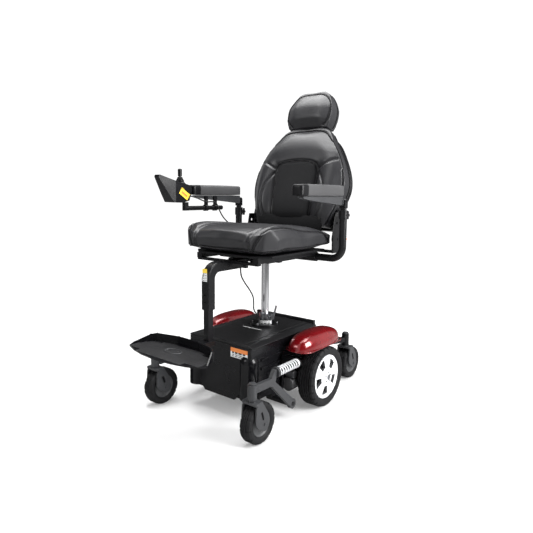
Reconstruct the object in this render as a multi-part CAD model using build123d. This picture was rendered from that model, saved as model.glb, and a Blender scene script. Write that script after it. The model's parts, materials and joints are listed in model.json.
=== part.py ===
from build123d import *
import math
import os

# Power wheelchair with six wheels, drive wheels in the middle and a powered seat lift.
# Millimetres. The chair faces -Y, the user's left is +X, the floor is z = 0 and
# y = 0 is the axle of the drive wheels. The seat is modelled raised.

# ---------------------------------------------------------------- driving dimensions
RUNNING = 0.05            # radial clearance of shafts, pins and sliding rods
GAP = 0.3                 # clearance between soft or rigid parts that pass each other

TRACK = 262               # half the distance between the drive wheels' centres
DRIVE_R = 127             # 10 inch drive wheel
DRIVE_W = 75
RIM_R = 92
CASTER_R = 76             # 6 inch caster
CASTER_W = 50
CASTER_RIM_R = 47
TRAIL = 31
FRONT_STEM = (TRACK, -455)  # x and y of the front caster stems
REAR_STEM = (199, 326)
STEM_R = 10
CASTER_AXLE_R = 6
BARREL_R = 17
BARREL_Z = 2 * CASTER_R + 16
BARREL_H = 55
STEM_CAP_H = 6

RAIL_X = 145              # chassis rails
RAIL_W = 30
RAIL_Z = 84
RAIL_H = 26
RAIL_FRONT = -330
ACCESSORY_T = 8           # rear plate with bolt holes for accessories
ACCESSORY_X = 110
ACCESSORY_DZ = 32
ACCESSORY_RISE = 30
BOLT_HOLE_R = 4.5
RAIL_REAR = 215
CASE_X = 165              # half width of the base housing
CASE_FRONT = -345
CASE_REAR = 110
CASE_TOP = 300
CORNER_R = 37              # rounded corner columns of the battery housing
COLUMN_SHOULDER_Z = 236
CASE_WALL = 4
DECK_T = 12
FENDER_X = TRACK - 34
FENDER_Y = -5
FENDER_R = FENDER_X - CASE_X + 1   # height and half width of the fender
FENDER_HALF_L = 160
FENDER_END_R = 58         # rounding of its two ends and of its top
FENDER_TOP_R = 50
FENDER_LIFT = 4           # gap between the tyre's top and the dome's rim
FENDER_T = 3
MOTOR_R = 27
MOTOR_Z = DRIVE_R - 15
MOTOR_END = -146
AXLE_R = 10

PIVOT_Y = -188            # pivot of the front suspension arms
PIVOT_Z = 61
PIVOT_R = 9
ARM_X = TRACK - 17
ARM_T = 16
SPRING_Z = 218
SPRING_R = 18
SPRING_WIRE = 5
SPRING_FRONT = -286
SPRING_REAR = -158
SPRING_TURNS = 9

POST_Y = -50              # seat lift post
RAM_R = 17
COLUMN_R = 30
COLUMN_TOP = 338
GLAND = (-7, -92)         # x and y where the lift cable enters the collar
LIFT_TRAVEL = 190

SEAT_Z = 650              # underside of the seat cushion
SEAT_FRAME_Z = SEAT_Z - 60   # underside of the seat frame plate
SEAT_W = 460
SEAT_FRONT = -345
SEAT_REAR = 112
SEAT_T = 86
HINGE_Y = SEAT_REAR + 42  # recline axis of the backrest
HINGE_Z = SEAT_Z + 40
HINGE_PIN_R = 6
EAR_X = SEAT_W / 2 - 9     # side ears of the back shell, which carry the hinge pins
EAR_T = 13
EAR_TOP = 135
TILT = 15
BACK_FRONT = -50
BACK_MID = 25
BACK_REAR = 47
BACK_TOP_W = 96           # half width of the flat top between the shoulders
HEAD_BOTTOM = 514
HEAD_ROD_X = 45
HEAD_ROD_Y = 33
HEAD_ROD_R = 5

ARM_POST_X = SEAT_W / 2 + 60
ARMREST_X = ARM_POST_X - 9
ARM_POST_Y = SEAT_REAR - 7
ARM_PIVOT_Z = SEAT_Z + 205
ARM_PIN_R = 5
KNOB_Z = SEAT_Z + 147
KNOB_SCREW_R = 4
ARM_TUBE_R = 15.5
ARM_TUBE_WALL = 3
ARM_TUBE_TOP = SEAT_Z + 168
ARM_CROSS_Z = SEAT_Z - 38
PAD_FRONT = -235
PAD_REAR = ARM_POST_Y - 20
PAD_W = 52
PAD_Z = SEAT_Z + 226
PAD_T = 46

STICK = (-ARMREST_X - 4, -286)   # x and y of the joystick
STICK_Z = SEAT_Z + 260
BALL_R = 28.5
GIMBAL_PIN_R = 2.5
PANEL_FRONT = (-410, STICK_Z + 50)   # y and z of the keypad panel's two ends
PANEL_BACK = (-342, STICK_Z + 27)
BUTTON_Y = -372
GROMMET = (-243, 58)      # x and y where the controller's cable enters the seat frame

LEG_Y = -405              # footrest column
SLEEVE_W = 38
SLEEVE_WALL = 6
SLEEVE_BOTTOM = 441
SLEEVE_BEND_Z = SEAT_Z - 90
SLEEVE_RUN_Z = SEAT_Z - 47     # middle of the sleeve's level run
SLEEVE_END_Y = -190
LEG_TOP = 520
LEG_BOTTOM = 306
HINGE_PLATE_Z = LEG_BOTTOM + 2
PLATE_PIN_R = 5
WALL_T = 4
PLATE_Z = 312
PLATE_T = 6
PLATE_HINGE_Y = -498

CABLE_R = 3


# ---------------------------------------------------------------- helpers
def block(x0, x1, y0, y1, z0, z1):
    size = Box(x1 - x0, y1 - y0, z1 - z0)
    return Pos((x0 + x1) / 2, (y0 + y1) / 2, (z0 + z1) / 2) * size


def rod(start, end, radius):
    axis = Vector(*end) - Vector(*start)
    disc = Plane(origin=start, z_dir=axis) * Circle(radius)
    return extrude(disc, amount=axis.length)


def ring(start, end, outer, inner):
    return rod(start, end, outer) - rod(start, end, inner)


def along_x(points, x0, x1):
    """A side outline of (y, z) points, made solid from x0 to x1."""
    face = make_face(Polyline(*[(x0, y, z) for y, z in points], close=True))
    return extrude(face, amount=x1 - x0, dir=(1, 0, 0))


def along_y(points, y0, y1):
    """A front outline of (x, z) points, made solid from y0 to y1."""
    face = make_face(Polyline(*[(x, y0, z) for x, z in points], close=True))
    return extrude(face, amount=y1 - y0, dir=(0, 1, 0))


def along_z(points, z0, z1):
    """A plan outline of (x, y) points, made solid from z0 to z1."""
    face = make_face(Polyline(*[(x, y, z0) for x, y in points], close=True))
    return extrude(face, amount=z1 - z0, dir=(0, 0, 1))


def other_side(shape):
    return mirror(shape, Plane.YZ)


def both(shape):
    return Compound(children=[shape, other_side(shape)])


def solids(*shapes):
    found = []
    for shape in shapes:
        found += list(shape.solids())
    return Compound(children=found)


def edges_along(shape, axis):
    return shape.edges().filter_by(axis)


def bent_tube(points, radius, bend):
    path = FilletPolyline(*points, radius=bend)
    disc = Plane(origin=path @ 0, z_dir=path % 0) * Circle(radius)
    return sweep(disc, path=path)


def cord(points, radius, name):
    """A round cable along straight runs joined by tangent arcs."""
    nodes = [Vector(*p) for p in points]
    runs = [b - a for a, b in zip(nodes, nodes[1:])]
    radii = []
    for before, after in zip(runs, runs[1:]):
        half_turn = math.radians(before.get_angle(after)) / 2
        radii.append(0.45 * min(before.length, after.length) / math.tan(half_turn))
    path = FilletPolyline(*nodes, radius=radii)
    disc = Plane(origin=path @ 0, z_dir=path % 0) * Circle(radius)
    tube = sweep(disc, path=path)
    error = tube.volume / (math.pi * radius ** 2 * path.length) - 1
    print(name, "length", round(path.length, 1), "radii", [round(r) for r in radii])
    print(name, "volume error", round(100 * error, 3), "%")
    return tube


def in_back(shape):
    """From the backrest's own frame (y through its thickness, z up the back) to the chair."""
    return Pos(0, HINGE_Y, HINGE_Z) * Rot(-TILT, 0, 0) * shape


# ---------------------------------------------------------------- chassis
def chassis_frame():
    inner = RAIL_X - RAIL_W / 2
    outer = RAIL_X + RAIL_W / 2
    top = RAIL_Z + RAIL_H
    rail = block(inner, outer, RAIL_FRONT, RAIL_REAR, RAIL_Z, top)
    frame = rail + other_side(rail)
    for y in (RAIL_FRONT, POST_Y - 12, RAIL_REAR - 24):
        frame += block(-inner, inner, y, y + 24, RAIL_Z, top)
    frame += block(-45, 45, POST_Y - 45, POST_Y + 45, RAIL_Z, RAIL_Z + 8)
    frame -= rod((0, POST_Y, RAIL_Z + 8), (0, POST_Y, top + 1), COLUMN_R + RUNNING)
    # pivot tubes of the front arms, hung under the rails
    hanger = block(inner, outer, PIVOT_Y - 16, PIVOT_Y + 16, PIVOT_Z - 4, RAIL_Z)
    pivot = rod((inner, PIVOT_Y, PIVOT_Z), (ARM_X - ARM_T / 2 - 1, PIVOT_Y, PIVOT_Z), 14)
    pin = rod((inner, PIVOT_Y, PIVOT_Z), (ARM_X + ARM_T / 2 + 2, PIVOT_Y, PIVOT_Z), PIVOT_R)
    # rear seat of each suspension spring
    seat_y = SPRING_REAR + GAP
    plate = block(CASE_X + 6, CASE_X + 12, seat_y, seat_y + 10, RAIL_Z, SPRING_Z + 14)
    foot = block(outer, CASE_X + 12, seat_y, seat_y + 10, RAIL_Z, RAIL_Z + 22)
    reach = block(CASE_X + 6, ARM_X + 12, seat_y, seat_y + 8, SPRING_Z - 14, SPRING_Z + 14)
    cup = rod((ARM_X, seat_y, SPRING_Z), (ARM_X, seat_y + 6, SPRING_Z), SPRING_R + 2)
    guide = rod((ARM_X, seat_y, SPRING_Z), (ARM_X, seat_y - 60, SPRING_Z), 7)
    side = hanger + pivot + pin + plate + foot + reach + cup + guide
    frame += side
    frame += other_side(side)
    # rear plate with four bolt holes for accessories
    plate = block(-75, 75, RAIL_REAR, RAIL_REAR + ACCESSORY_T, RAIL_Z, RAIL_Z + 80)
    middle = top + ACCESSORY_RISE
    for x in (-ACCESSORY_X / 2, ACCESSORY_X / 2):
        for z in (middle - ACCESSORY_DZ / 2, middle + ACCESSORY_DZ / 2):
            plate -= rod((x, RAIL_REAR - 1, z), (x, RAIL_REAR + ACCESSORY_T + 1, z), BOLT_HOLE_R)
    return frame + plate


def rear_arms():
    x, y = REAR_STEM
    top = BARREL_Z + BARREL_H
    arm_low = BARREL_Z + 16
    arm_high = BARREL_Z + 38
    foot = block(RAIL_X - 13, RAIL_X + 13, RAIL_REAR - 34, RAIL_REAR - 4, RAIL_Z + RAIL_H, arm_high)
    bar = along_z([(RAIL_X - 13, RAIL_REAR - 34), (RAIL_X + 13, RAIL_REAR - 34),
                   (x + 12, y), (x - 12, y)], arm_low, arm_high)
    barrel = rod((x, y, BARREL_Z), (x, y, top), BARREL_R)
    arm = foot + bar + barrel - rod((x, y, BARREL_Z - 1), (x, y, top + 1), STEM_R + RUNNING)
    return both(arm)


def front_arm():
    """Bell crank: caster barrel, bar to the low pivot and an upright for the spring."""
    x, y = FRONT_STEM
    x0 = ARM_X - ARM_T / 2
    x1 = ARM_X + ARM_T / 2
    top = BARREL_Z + BARREL_H
    bend_y = y + 123
    bar = along_x([(bend_y - 12, BARREL_Z + 22), (bend_y + 10, BARREL_Z + 32),
                   (PIVOT_Y + 12, PIVOT_Z + 10),
                   (PIVOT_Y - 12, PIVOT_Z - 12)], x0, x1)
    reach = along_x([(y + 8, BARREL_Z + 10), (y + 8, BARREL_Z + 40), (bend_y + 14, BARREL_Z + 35),
                     (bend_y + 2, BARREL_Z + 8)], x0, x1)
    upright = along_x([(bend_y - 8, BARREL_Z + 22), (SPRING_FRONT - 26, SPRING_Z + 14),
                       (SPRING_FRONT - 8, SPRING_Z + 14), (bend_y + 26, BARREL_Z + 18)], x0, x1)
    cup_back = SPRING_FRONT - GAP
    cup = rod((ARM_X, cup_back - 12, SPRING_Z), (ARM_X, cup_back, SPRING_Z), SPRING_R + 2)
    boss = rod((x0, PIVOT_Y, PIVOT_Z), (x1, PIVOT_Y, PIVOT_Z), 20)
    barrel = rod((x, y, BARREL_Z), (x, y, top), BARREL_R)
    arm = bar + reach + upright + cup + boss + barrel
    arm -= rod((x, y, BARREL_Z - 1), (x, y, top + 1), STEM_R + RUNNING)
    return arm - rod((x0 - 1, PIVOT_Y, PIVOT_Z), (x1 + 1, PIVOT_Y, PIVOT_Z), PIVOT_R + RUNNING)


def suspension_spring():
    length = SPRING_REAR - SPRING_FRONT
    pitch = (length - SPRING_WIRE) / SPRING_TURNS
    mean_r = SPRING_R - SPRING_WIRE / 2
    path = Helix(pitch=pitch, height=pitch * SPRING_TURNS, radius=mean_r)
    section = Plane(origin=path @ 0, z_dir=path % 0) * Circle(SPRING_WIRE / 2)
    coil = sweep(section, path=path, is_frenet=True)
    return Pos(ARM_X, SPRING_FRONT + SPRING_WIRE / 2, SPRING_Z) * Rot(-90, 0, 0) * coil


def front_casing():
    """Moulded battery housing: open box with a bevelled chin, corner columns and side ribs."""
    x = CASE_X
    bottom = RAIL_Z + RAIL_H + 2
    chin = RAIL_Z - 4
    wall = CASE_WALL
    body = block(-x, x, CASE_FRONT, CASE_REAR, bottom, CASE_TOP)
    body -= block(wall - x, x - wall, CASE_FRONT + wall, CASE_REAR - wall, bottom - 1, CASE_TOP + 1)
    body += along_y([(-118, bottom + 10), (-80, chin), (80, chin), (118, bottom + 10)],
                    CASE_FRONT, CASE_FRONT + 10)
    for side in (-1, 1):
        centre_x = side * (x - 27)
        foot = (centre_x, CASE_FRONT + 22, chin + 14)
        shoulder = (centre_x, CASE_FRONT + 22, COLUMN_SHOULDER_Z)
        column = rod(foot, shoulder, CORNER_R) + Pos(*shoulder) * Sphere(CORNER_R)
        inside = block(wall - x, x - wall, CASE_FRONT + wall, 0, chin, CASE_TOP)
        body += column - inside
    for z in (205, 238):
        rib = block(-x - 5, x + 5, CASE_FRONT + 60, CASE_REAR - 5, z, z + 9)
        body += rib - block(-x, x, CASE_FRONT, CASE_REAR, z - 1, z + 10)
    return body - block(-60, 60, CASE_REAR - wall - 1, CASE_REAR + 1, 150, 240)


def deck_cover():
    low = CASE_TOP
    high = low + DECK_T
    slope = 22
    x = CASE_X + 3
    plate = along_y([(-x, low), (x, low), (x, low + 3), (x - slope, high), (slope - x, high),
                     (-x, low + 3)], CASE_FRONT + 2, CASE_REAR)
    lip = block(-x + 6, x - 6, CASE_REAR - 14, CASE_REAR, low, high + 12)
    cover = plate + lip
    groove = CASE_X - 42
    for side in (-groove, groove):
        cover -= block(side - 1.5, side + 1.5, CASE_FRONT + 20, CASE_REAR - 20, high - 2, high + 1)
    return cover - rod((0, POST_Y, low - 1), (0, POST_Y, high + 1), COLUMN_R + GAP)


def fender_dome(inward):
    """Long block with well-rounded ends and top; inward makes the smaller one for the hollow."""
    low = 2 * DRIVE_R + FENDER_LIFT
    top = low + FENDER_R - inward
    half_w = FENDER_R - inward
    half_l = FENDER_HALF_L - inward
    dome = block(FENDER_X - half_w, FENDER_X + half_w, FENDER_Y - half_l, FENDER_Y + half_l,
                 low - inward, top)
    dome = fillet(edges_along(dome, Axis.Z), FENDER_END_R - inward)
    return fillet(dome.faces().sort_by(Axis.Z)[-1].edges(), FENDER_TOP_R - inward)


def fender():
    """Domed guard over the inner top of the drive wheel, open below and against the housing."""
    side = CASE_X + 6
    shell = fender_dome(0) - fender_dome(FENDER_T)
    return shell - block(side - 100, side, -400, 400, 0, 500)


def batteries():
    x = 5
    box = block(x, x + 118, CASE_FRONT + 30, CASE_FRONT + 225, RAIL_Z + RAIL_H, 272)
    box = fillet(edges_along(box, Axis.Z), 4)
    for y in (CASE_FRONT + 55, CASE_FRONT + 200):
        box += rod((x + 60, y, 272), (x + 60, y, 284), 7)
    return both(box)


def power_module():
    body = block(-70, 70, 20, 98, RAIL_Z + RAIL_H, RAIL_Z + RAIL_H + 70)
    body = fillet(edges_along(body, Axis.Z), 5)
    for x in range(-60, 61, 20):
        body += block(x - 2, x + 2, 24, 94, RAIL_Z + RAIL_H + 70, RAIL_Z + RAIL_H + 78)
    return body


def lift_column():
    top = COLUMN_TOP
    column = rod((0, POST_Y, RAIL_Z + 8), (0, POST_Y, top), COLUMN_R)
    flange = rod((0, POST_Y, CASE_TOP + DECK_T), (0, POST_Y, CASE_TOP + DECK_T + 8), 65)
    collar = rod((0, POST_Y, CASE_TOP + DECK_T), (0, POST_Y, top), 37)
    gland = rod((*GLAND, CASE_TOP + DECK_T), (*GLAND, top), 8)
    body = column + flange + collar + gland
    body -= rod((0, POST_Y, RAIL_Z + 7), (0, POST_Y, top + 1), RAM_R + RUNNING)
    return body


def lift_clamp():
    """Split clamp ring on the collar with its pinch bolt and hand lever, and the flange's bolts."""
    z = COLUMN_TOP
    clamp = ring((0, POST_Y, z), (0, POST_Y, z + 26), 25, RAM_R + RUNNING)
    clamp += block(21, 44, POST_Y - 10, POST_Y + 10, z, z + 26)
    clamp -= block(16, 50, POST_Y - 1.5, POST_Y + 1.5, z - 1, z + 27)
    clamp += rod((35, POST_Y - 18, z + 13), (35, POST_Y + 18, z + 13), 4)
    clamp += rod((35, POST_Y + 18, z + 13), (44, POST_Y + 24, z + 58), 4.5)
    bolts = []
    top = CASE_TOP + DECK_T + 8
    for i in range(6):
        angle = math.radians(30 + 60 * i)
        x = 53 * math.cos(angle)
        y = POST_Y + 53 * math.sin(angle)
        bolts.append(rod((x, y, top), (x, y, top + 5), 5))
    return solids(clamp, *bolts)


def gearmotor():
    box = block(CASE_X + 3, TRACK - DRIVE_W / 2 - 4, -42, 42, RAIL_Z - 8, DRIVE_R + 44)
    box = fillet(edges_along(box, Axis.X), 18)
    motor_x = CASE_X + 30
    motor = rod((motor_x, -40, MOTOR_Z), (motor_x, MOTOR_END, MOTOR_Z), MOTOR_R)
    mount = block(RAIL_X + RAIL_W / 2, CASE_X + 4, -30, 30, RAIL_Z, RAIL_Z + RAIL_H)
    bore = rod((CASE_X + 2, 0, DRIVE_R), (TRACK, 0, DRIVE_R), AXLE_R + RUNNING)
    return box + motor + mount - bore


def brake():
    """Plated brake drum across the front end of a gearmotor."""
    y = -128
    z = MOTOR_Z + MOTOR_R + 15
    drum = rod((CASE_X + 4, y, z), (TRACK - DRIVE_W / 2 - 4, y, z), 15)
    neck = block(CASE_X + 20, CASE_X + 40, y - 8, y + 8, MOTOR_Z + 24, z)
    return drum + (neck - rod((CASE_X + 30, 0, MOTOR_Z), (CASE_X + 30, -200, MOTOR_Z), MOTOR_R))


def freewheel_lever():
    """Lever at the back of the gearbox that frees the wheel for pushing."""
    y = 42 + GAP
    x = CASE_X + 22
    z = DRIVE_R + 8
    hub = rod((x, y, z), (x, y + 12, z), 10)
    arm = block(x - 5, x + 5, y + 4, y + 10, z, z + 38)
    grip = rod((x, y + 7, z + 30), (x, y + 7, z + 48), 8)
    return hub + arm + grip


def drive_tyre():
    half = DRIVE_W / 2
    outline = [(RIM_R, -half + 8), (RIM_R + 12, -half), (DRIVE_R - 14, -half),
               (DRIVE_R - 3, -half + 10), (DRIVE_R, -half + 22), (DRIVE_R, half - 22),
               (DRIVE_R - 3, half - 10), (DRIVE_R - 14, half), (RIM_R + 12, half),
               (RIM_R, half - 8)]
    return turned(outline, TRACK, DRIVE_R, 0)


def turned(outline, x, z, y):
    """A (radius, offset) outline turned about a wheel axle along X."""
    face = make_face(Polyline(*[(x + t, y, z + r) for r, t in outline], close=True))
    return revolve(face, axis=Axis((x, y, z), (1, 0, 0)), revolution_arc=360)


def drive_rim():
    half = DRIVE_W / 2
    outline = [(RIM_R, -half + 8), (RIM_R, half - 8), (RIM_R - 2, half + 2), (RIM_R - 10, half + 2),
               (RIM_R - 14, half - 8), (30, half - 2), (24, half + 4), (0, half + 4), (0, half - 20),
               (30, half - 20), (RIM_R - 16, half - 22), (RIM_R - 16, -half + 8)]
    rim = turned(outline, TRACK, DRIVE_R, 0)
    shaft = rod((CASE_X + 10, 0, DRIVE_R), (TRACK + half - 18, 0, DRIVE_R), AXLE_R)
    for i in range(5):
        angle = math.radians(90 + 72 * i)
        y = 58 * math.cos(angle)
        z = DRIVE_R + 58 * math.sin(angle)
        window = rod((TRACK, y, z), (TRACK + half + 5, y, z), 17)
        rim -= window
    return rim + shaft


def caster(stem_x, stem_y):
    """Fork with its stem and axle, wheel rim and tyre, trailing towards +Y."""
    axle_y = stem_y + TRAIL
    plate_in = CASTER_W / 2 + 3
    plate_out = plate_in + 6
    crown_z = 2 * CASTER_R + 4
    crown = block(stem_x - plate_out, stem_x + plate_out, stem_y - 20, stem_y + 24,
                  crown_z, crown_z + 8)
    fork = fillet(edges_along(crown, Axis.Z), 8)
    top_r = 22
    top_z = crown_z + 6 - top_r
    belly_r = 35
    belly_z = CASTER_R + 26
    for x0 in (stem_x - plate_out, stem_x + plate_in):
        plate = extrude(Plane.YZ * make_hull([
            *(Pos(axle_y, CASTER_R) * Circle(24)).edges(),
            *(Pos(stem_y + 16, belly_z) * Circle(belly_r)).edges(),
            *(Pos(stem_y + 6, top_z) * Circle(top_r)).edges()]), amount=6)
        slot = extrude(Plane.YZ * make_hull([
            *(Pos(axle_y - 9, CASTER_R + 24) * Circle(5)).edges(),
            *(Pos(axle_y - 18, CASTER_R + 48) * Circle(5)).edges()]), amount=6)
        fork += Pos(x0, 0, 0) * (plate - slot)
    fork += rod((stem_x, stem_y, crown_z), (stem_x, stem_y, BARREL_Z - 1), 15)
    fork += rod((stem_x, stem_y, crown_z), (stem_x, stem_y, BARREL_Z + BARREL_H + 2), STEM_R)
    barrel_top = BARREL_Z + BARREL_H
    fork += rod((stem_x, stem_y, barrel_top + 1), (stem_x, stem_y, barrel_top + STEM_CAP_H), 13)
    fork += rod((stem_x - plate_out - 3, axle_y, CASTER_R),
                (stem_x + plate_out + 3, axle_y, CASTER_R), CASTER_AXLE_R)
    half = CASTER_W / 2
    rim_outline = [(CASTER_AXLE_R + RUNNING, -half + 1), (16, -half + 1), (18, -half + 8),
                   (CASTER_RIM_R - 6, -half + 10), (CASTER_RIM_R, -half + 6),
                   (CASTER_RIM_R, half - 6), (CASTER_RIM_R - 6, half - 10), (18, half - 8),
                   (16, half - 1), (CASTER_AXLE_R + RUNNING, half - 1)]
    rim = turned(rim_outline, stem_x, CASTER_R, axle_y)
    tyre_outline = [(CASTER_RIM_R, -half + 6), (CASTER_RIM_R + 8, -half), (CASTER_R - 10, -half),
                    (CASTER_R - 2, -half + 9), (CASTER_R, -half + 18), (CASTER_R, half - 18),
                    (CASTER_R - 2, half - 9), (CASTER_R - 10, half), (CASTER_RIM_R + 8, half),
                    (CASTER_RIM_R, half - 6)]
    tyre = turned(tyre_outline, stem_x, CASTER_R, axle_y)
    return fork, rim, tyre


# ---------------------------------------------------------------- seat
def lift_ram():
    bottom = RAIL_Z + 8 + LIFT_TRAVEL + 8
    return rod((0, POST_Y, bottom), (0, POST_Y, SEAT_FRAME_Z), RAM_R)


def seat_frame():
    z = SEAT_FRAME_Z
    half = SEAT_W / 2 - 30
    pan = along_z([(-half, SEAT_REAR - 2), (half, SEAT_REAR - 2), (half, SEAT_FRONT + 80),
                   (half - 62, SEAT_FRONT + 25), (62 - half, SEAT_FRONT + 25),
                   (-half, SEAT_FRONT + 80)], SEAT_Z - 8, SEAT_Z - GAP)
    socket = rod((0, POST_Y, z), (0, POST_Y, SEAT_Z - 8), 28)
    plate = block(-110, 110, POST_Y - 120, POST_Y + 110, z + 14, z + 20)
    frame = pan + socket + plate
    for x in (-150, 150):
        frame += block(x - 13, x + 13, SEAT_FRONT + 40, SEAT_REAR, SEAT_Z - 30, SEAT_Z - 8)
    for y in (SEAT_FRONT + 40, POST_Y - 120, ARM_POST_Y - 15):
        frame += block(-160, 160, y, y + 22, SEAT_Z - 38, SEAT_Z - 28)
    for x in (-90, 90):
        frame += block(x - 8, x + 8, POST_Y - 120, POST_Y + 110, z + 18, SEAT_Z - 8)
    # cross tube that holds the two arm supports
    cross = (ARM_POST_Y, ARM_CROSS_Z)
    tube = rod((-165, *cross), (165, *cross), ARM_TUBE_R + 5)
    frame += tube
    frame -= rod((-166, *cross), (-45, *cross), ARM_TUBE_R + RUNNING)
    frame -= rod((45, *cross), (166, *cross), ARM_TUBE_R + RUNNING)
    # recline brackets at the back corners
    x = SEAT_W / 2 + 6
    foot = block(-x - 5, x + 5, SEAT_REAR + 8, SEAT_REAR + 38, SEAT_Z - 18, SEAT_Z - 8)
    frame += foot + block(-160, 160, SEAT_REAR - 8, SEAT_REAR + 12, SEAT_Z - 18, SEAT_Z - 8)
    outline = [(SEAT_REAR - 4, SEAT_Z - 18), (SEAT_REAR + 60, SEAT_Z - 18),
               (HINGE_Y + 18, HINGE_Z + 20), (HINGE_Y + 4, HINGE_Z + 100),
               (SEAT_REAR + 14, HINGE_Z + 100), (SEAT_REAR - 4, HINGE_Z + 20)]
    plate = along_x(outline, x, x + 5)
    plate -= rod((x - 1, HINGE_Y, HINGE_Z), (x + 6, HINGE_Y, HINGE_Z), HINGE_PIN_R + RUNNING)
    plate -= rod((x - 1, HINGE_Y - 12, HINGE_Z + 70), (x + 6, HINGE_Y - 12, HINGE_Z + 70), 7)
    frame += plate + other_side(plate)
    # the footrest sleeve runs back between the rails, through the front cross member
    half_sleeve = SLEEVE_W / 2 + GAP
    frame -= block(-half_sleeve, half_sleeve, LEG_Y, SLEEVE_END_Y + GAP,
                   SLEEVE_RUN_Z - half_sleeve, SLEEVE_RUN_Z + half_sleeve)
    # grommet for the controller's cable
    gx, gy = GROMMET
    return frame + block(gx - 8, -190, gy - 8, gy + 8, SEAT_Z - 18, SEAT_Z - 8)


def footrest_sleeve():
    """Square footrest sleeve: down from a bend under the front of the seat."""
    path = FilletPolyline((0, SLEEVE_END_Y, SLEEVE_RUN_Z), (0, LEG_Y, SLEEVE_RUN_Z),
                          (0, LEG_Y, SLEEVE_BOTTOM), radius=45)
    square = RectangleRounded(SLEEVE_W, SLEEVE_W, 4)
    section = Plane(origin=path @ 0, x_dir=(1, 0, 0), z_dir=path % 0) * square
    tube = sweep(section, path=path)
    side = SLEEVE_W / 2 - SLEEVE_WALL
    hollow = block(-side, side, LEG_Y - side, LEG_Y + side, SLEEVE_BOTTOM - 1, SLEEVE_BEND_Z)
    tube -= hollow
    for z in (472, 499):
        tube -= rod((0, LEG_Y - 30, z), (0, LEG_Y, z), 4)
    return tube


def seat_cushion():
    """Dished cushion: raised sides and a rounded, falling front edge."""
    half = SEAT_W / 2
    top = SEAT_Z + SEAT_T
    across = [(-half, SEAT_Z), (half, SEAT_Z), (half, top - 30), (half - 14, top + 14),
              (half - 45, top + 30), (half - 80, top + 10), (half - 100, top),
              (100 - half, top), (80 - half, top + 10), (45 - half, top + 30),
              (14 - half, top + 14), (-half, top - 30)]
    along = [(SEAT_FRONT + 12, SEAT_Z), (SEAT_REAR, SEAT_Z), (SEAT_REAR, top - 34),
             (SEAT_REAR - 40, top - 16), (-120, top + 12), (-215, top + 32),
             (-275, top + 26), (SEAT_FRONT + 14, top - 8), (SEAT_FRONT, top - 36)]
    plan = [(-half, SEAT_REAR), (half, SEAT_REAR), (half, SEAT_FRONT + 90),
            (half - 30, SEAT_FRONT + 32), (half - 92, SEAT_FRONT), (92 - half, SEAT_FRONT),
            (30 - half, SEAT_FRONT + 32), (-half, SEAT_FRONT + 90)]
    body = along_y(across, SEAT_FRONT, SEAT_REAR)
    body = body & along_x(along, -half, half)
    return body & along_z(plan, SEAT_Z, top + 40)


def arm_support():
    """L-shaped receiver tube from under the seat up to the armrest post."""
    points = [(55, ARM_POST_Y, ARM_CROSS_Z), (ARM_POST_X, ARM_POST_Y, ARM_CROSS_Z),
              (ARM_POST_X, ARM_POST_Y, ARM_TUBE_TOP)]
    tube = bent_tube(points, ARM_TUBE_R, 52)
    inner = ARM_TUBE_R - ARM_TUBE_WALL + RUNNING
    bottom = (ARM_POST_X, ARM_POST_Y, SEAT_Z + 40)
    top = (ARM_POST_X, ARM_POST_Y, ARM_TUBE_TOP + 1)
    collar = rod((ARM_POST_X, ARM_POST_Y, ARM_TUBE_TOP - 36), (ARM_POST_X, ARM_POST_Y, ARM_TUBE_TOP),
                 ARM_TUBE_R + 3.5)
    boss = rod((ARM_POST_X, ARM_POST_Y, KNOB_Z), (ARM_POST_X, ARM_POST_Y + 27, KNOB_Z), 9)
    tube = tube + collar + boss - rod(bottom, top, inner)
    return tube - rod((ARM_POST_X, ARM_POST_Y + 5, KNOB_Z), (ARM_POST_X, ARM_POST_Y + 30, KNOB_Z),
                      KNOB_SCREW_R + RUNNING)


def arm_knob():
    y = ARM_POST_Y + 28
    tip = ARM_POST_Y + ARM_TUBE_R - ARM_TUBE_WALL + 1.5
    screw = rod((ARM_POST_X, tip, KNOB_Z), (ARM_POST_X, y, KNOB_Z), KNOB_SCREW_R)
    hub = rod((ARM_POST_X, y, KNOB_Z), (ARM_POST_X, y + 14, KNOB_Z), 8)
    bar = rod((ARM_POST_X, y + 10, KNOB_Z - 17), (ARM_POST_X, y + 10, KNOB_Z + 17), 5)
    return screw + hub + bar


def arm_post():
    x, y, z = ARM_POST_X, ARM_POST_Y, ARM_PIVOT_Z
    post = rod((x, y, SEAT_Z + 50), (x, y, z - 22), ARM_TUBE_R - ARM_TUBE_WALL)
    yoke = block(x - 13, x + 13, y - 12, y + 12, z - 28, z - 16)
    for x0 in (x - 13, x + 7):
        ear = block(x0, x0 + 6, y - 12, y + 12, z - 17, z)
        yoke += ear + rod((x0, y, z), (x0 + 6, y, z), 12)
    pin = rod((x - 15, y, z), (x + 15, y, z), ARM_PIN_R)
    return post + yoke + pin


def armrest():
    x, y, z = ARM_POST_X, ARM_POST_Y, ARM_PIVOT_Z
    under = PAD_Z - GAP
    outline = [(y - 17, z - 16), (y - 17, under), (PAD_FRONT + 30, under),
               (PAD_FRONT + 30, under - 7), (PAD_FRONT + 70, under - 14)]
    body = along_x(outline, ARMREST_X - 13, ARMREST_X + 13)
    lug = block(x - 6.5, x + 6.5, y - 18, y, z - 10, z + 10)
    lug += rod((x - 6.5, y, z), (x + 6.5, y, z), 10)
    body += lug
    return body - rod((x - 8, y, z), (x + 8, y, z), ARM_PIN_R + RUNNING)


def armrest_pad():
    x0 = ARMREST_X - PAD_W / 2
    pad = block(x0, x0 + PAD_W, PAD_FRONT, PAD_REAR, PAD_Z, PAD_Z + PAD_T)
    pad = fillet(edges_along(pad, Axis.Z), 16)
    return fillet(pad.faces().sort_by(Axis.Z)[-1].edges(), 10)


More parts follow.
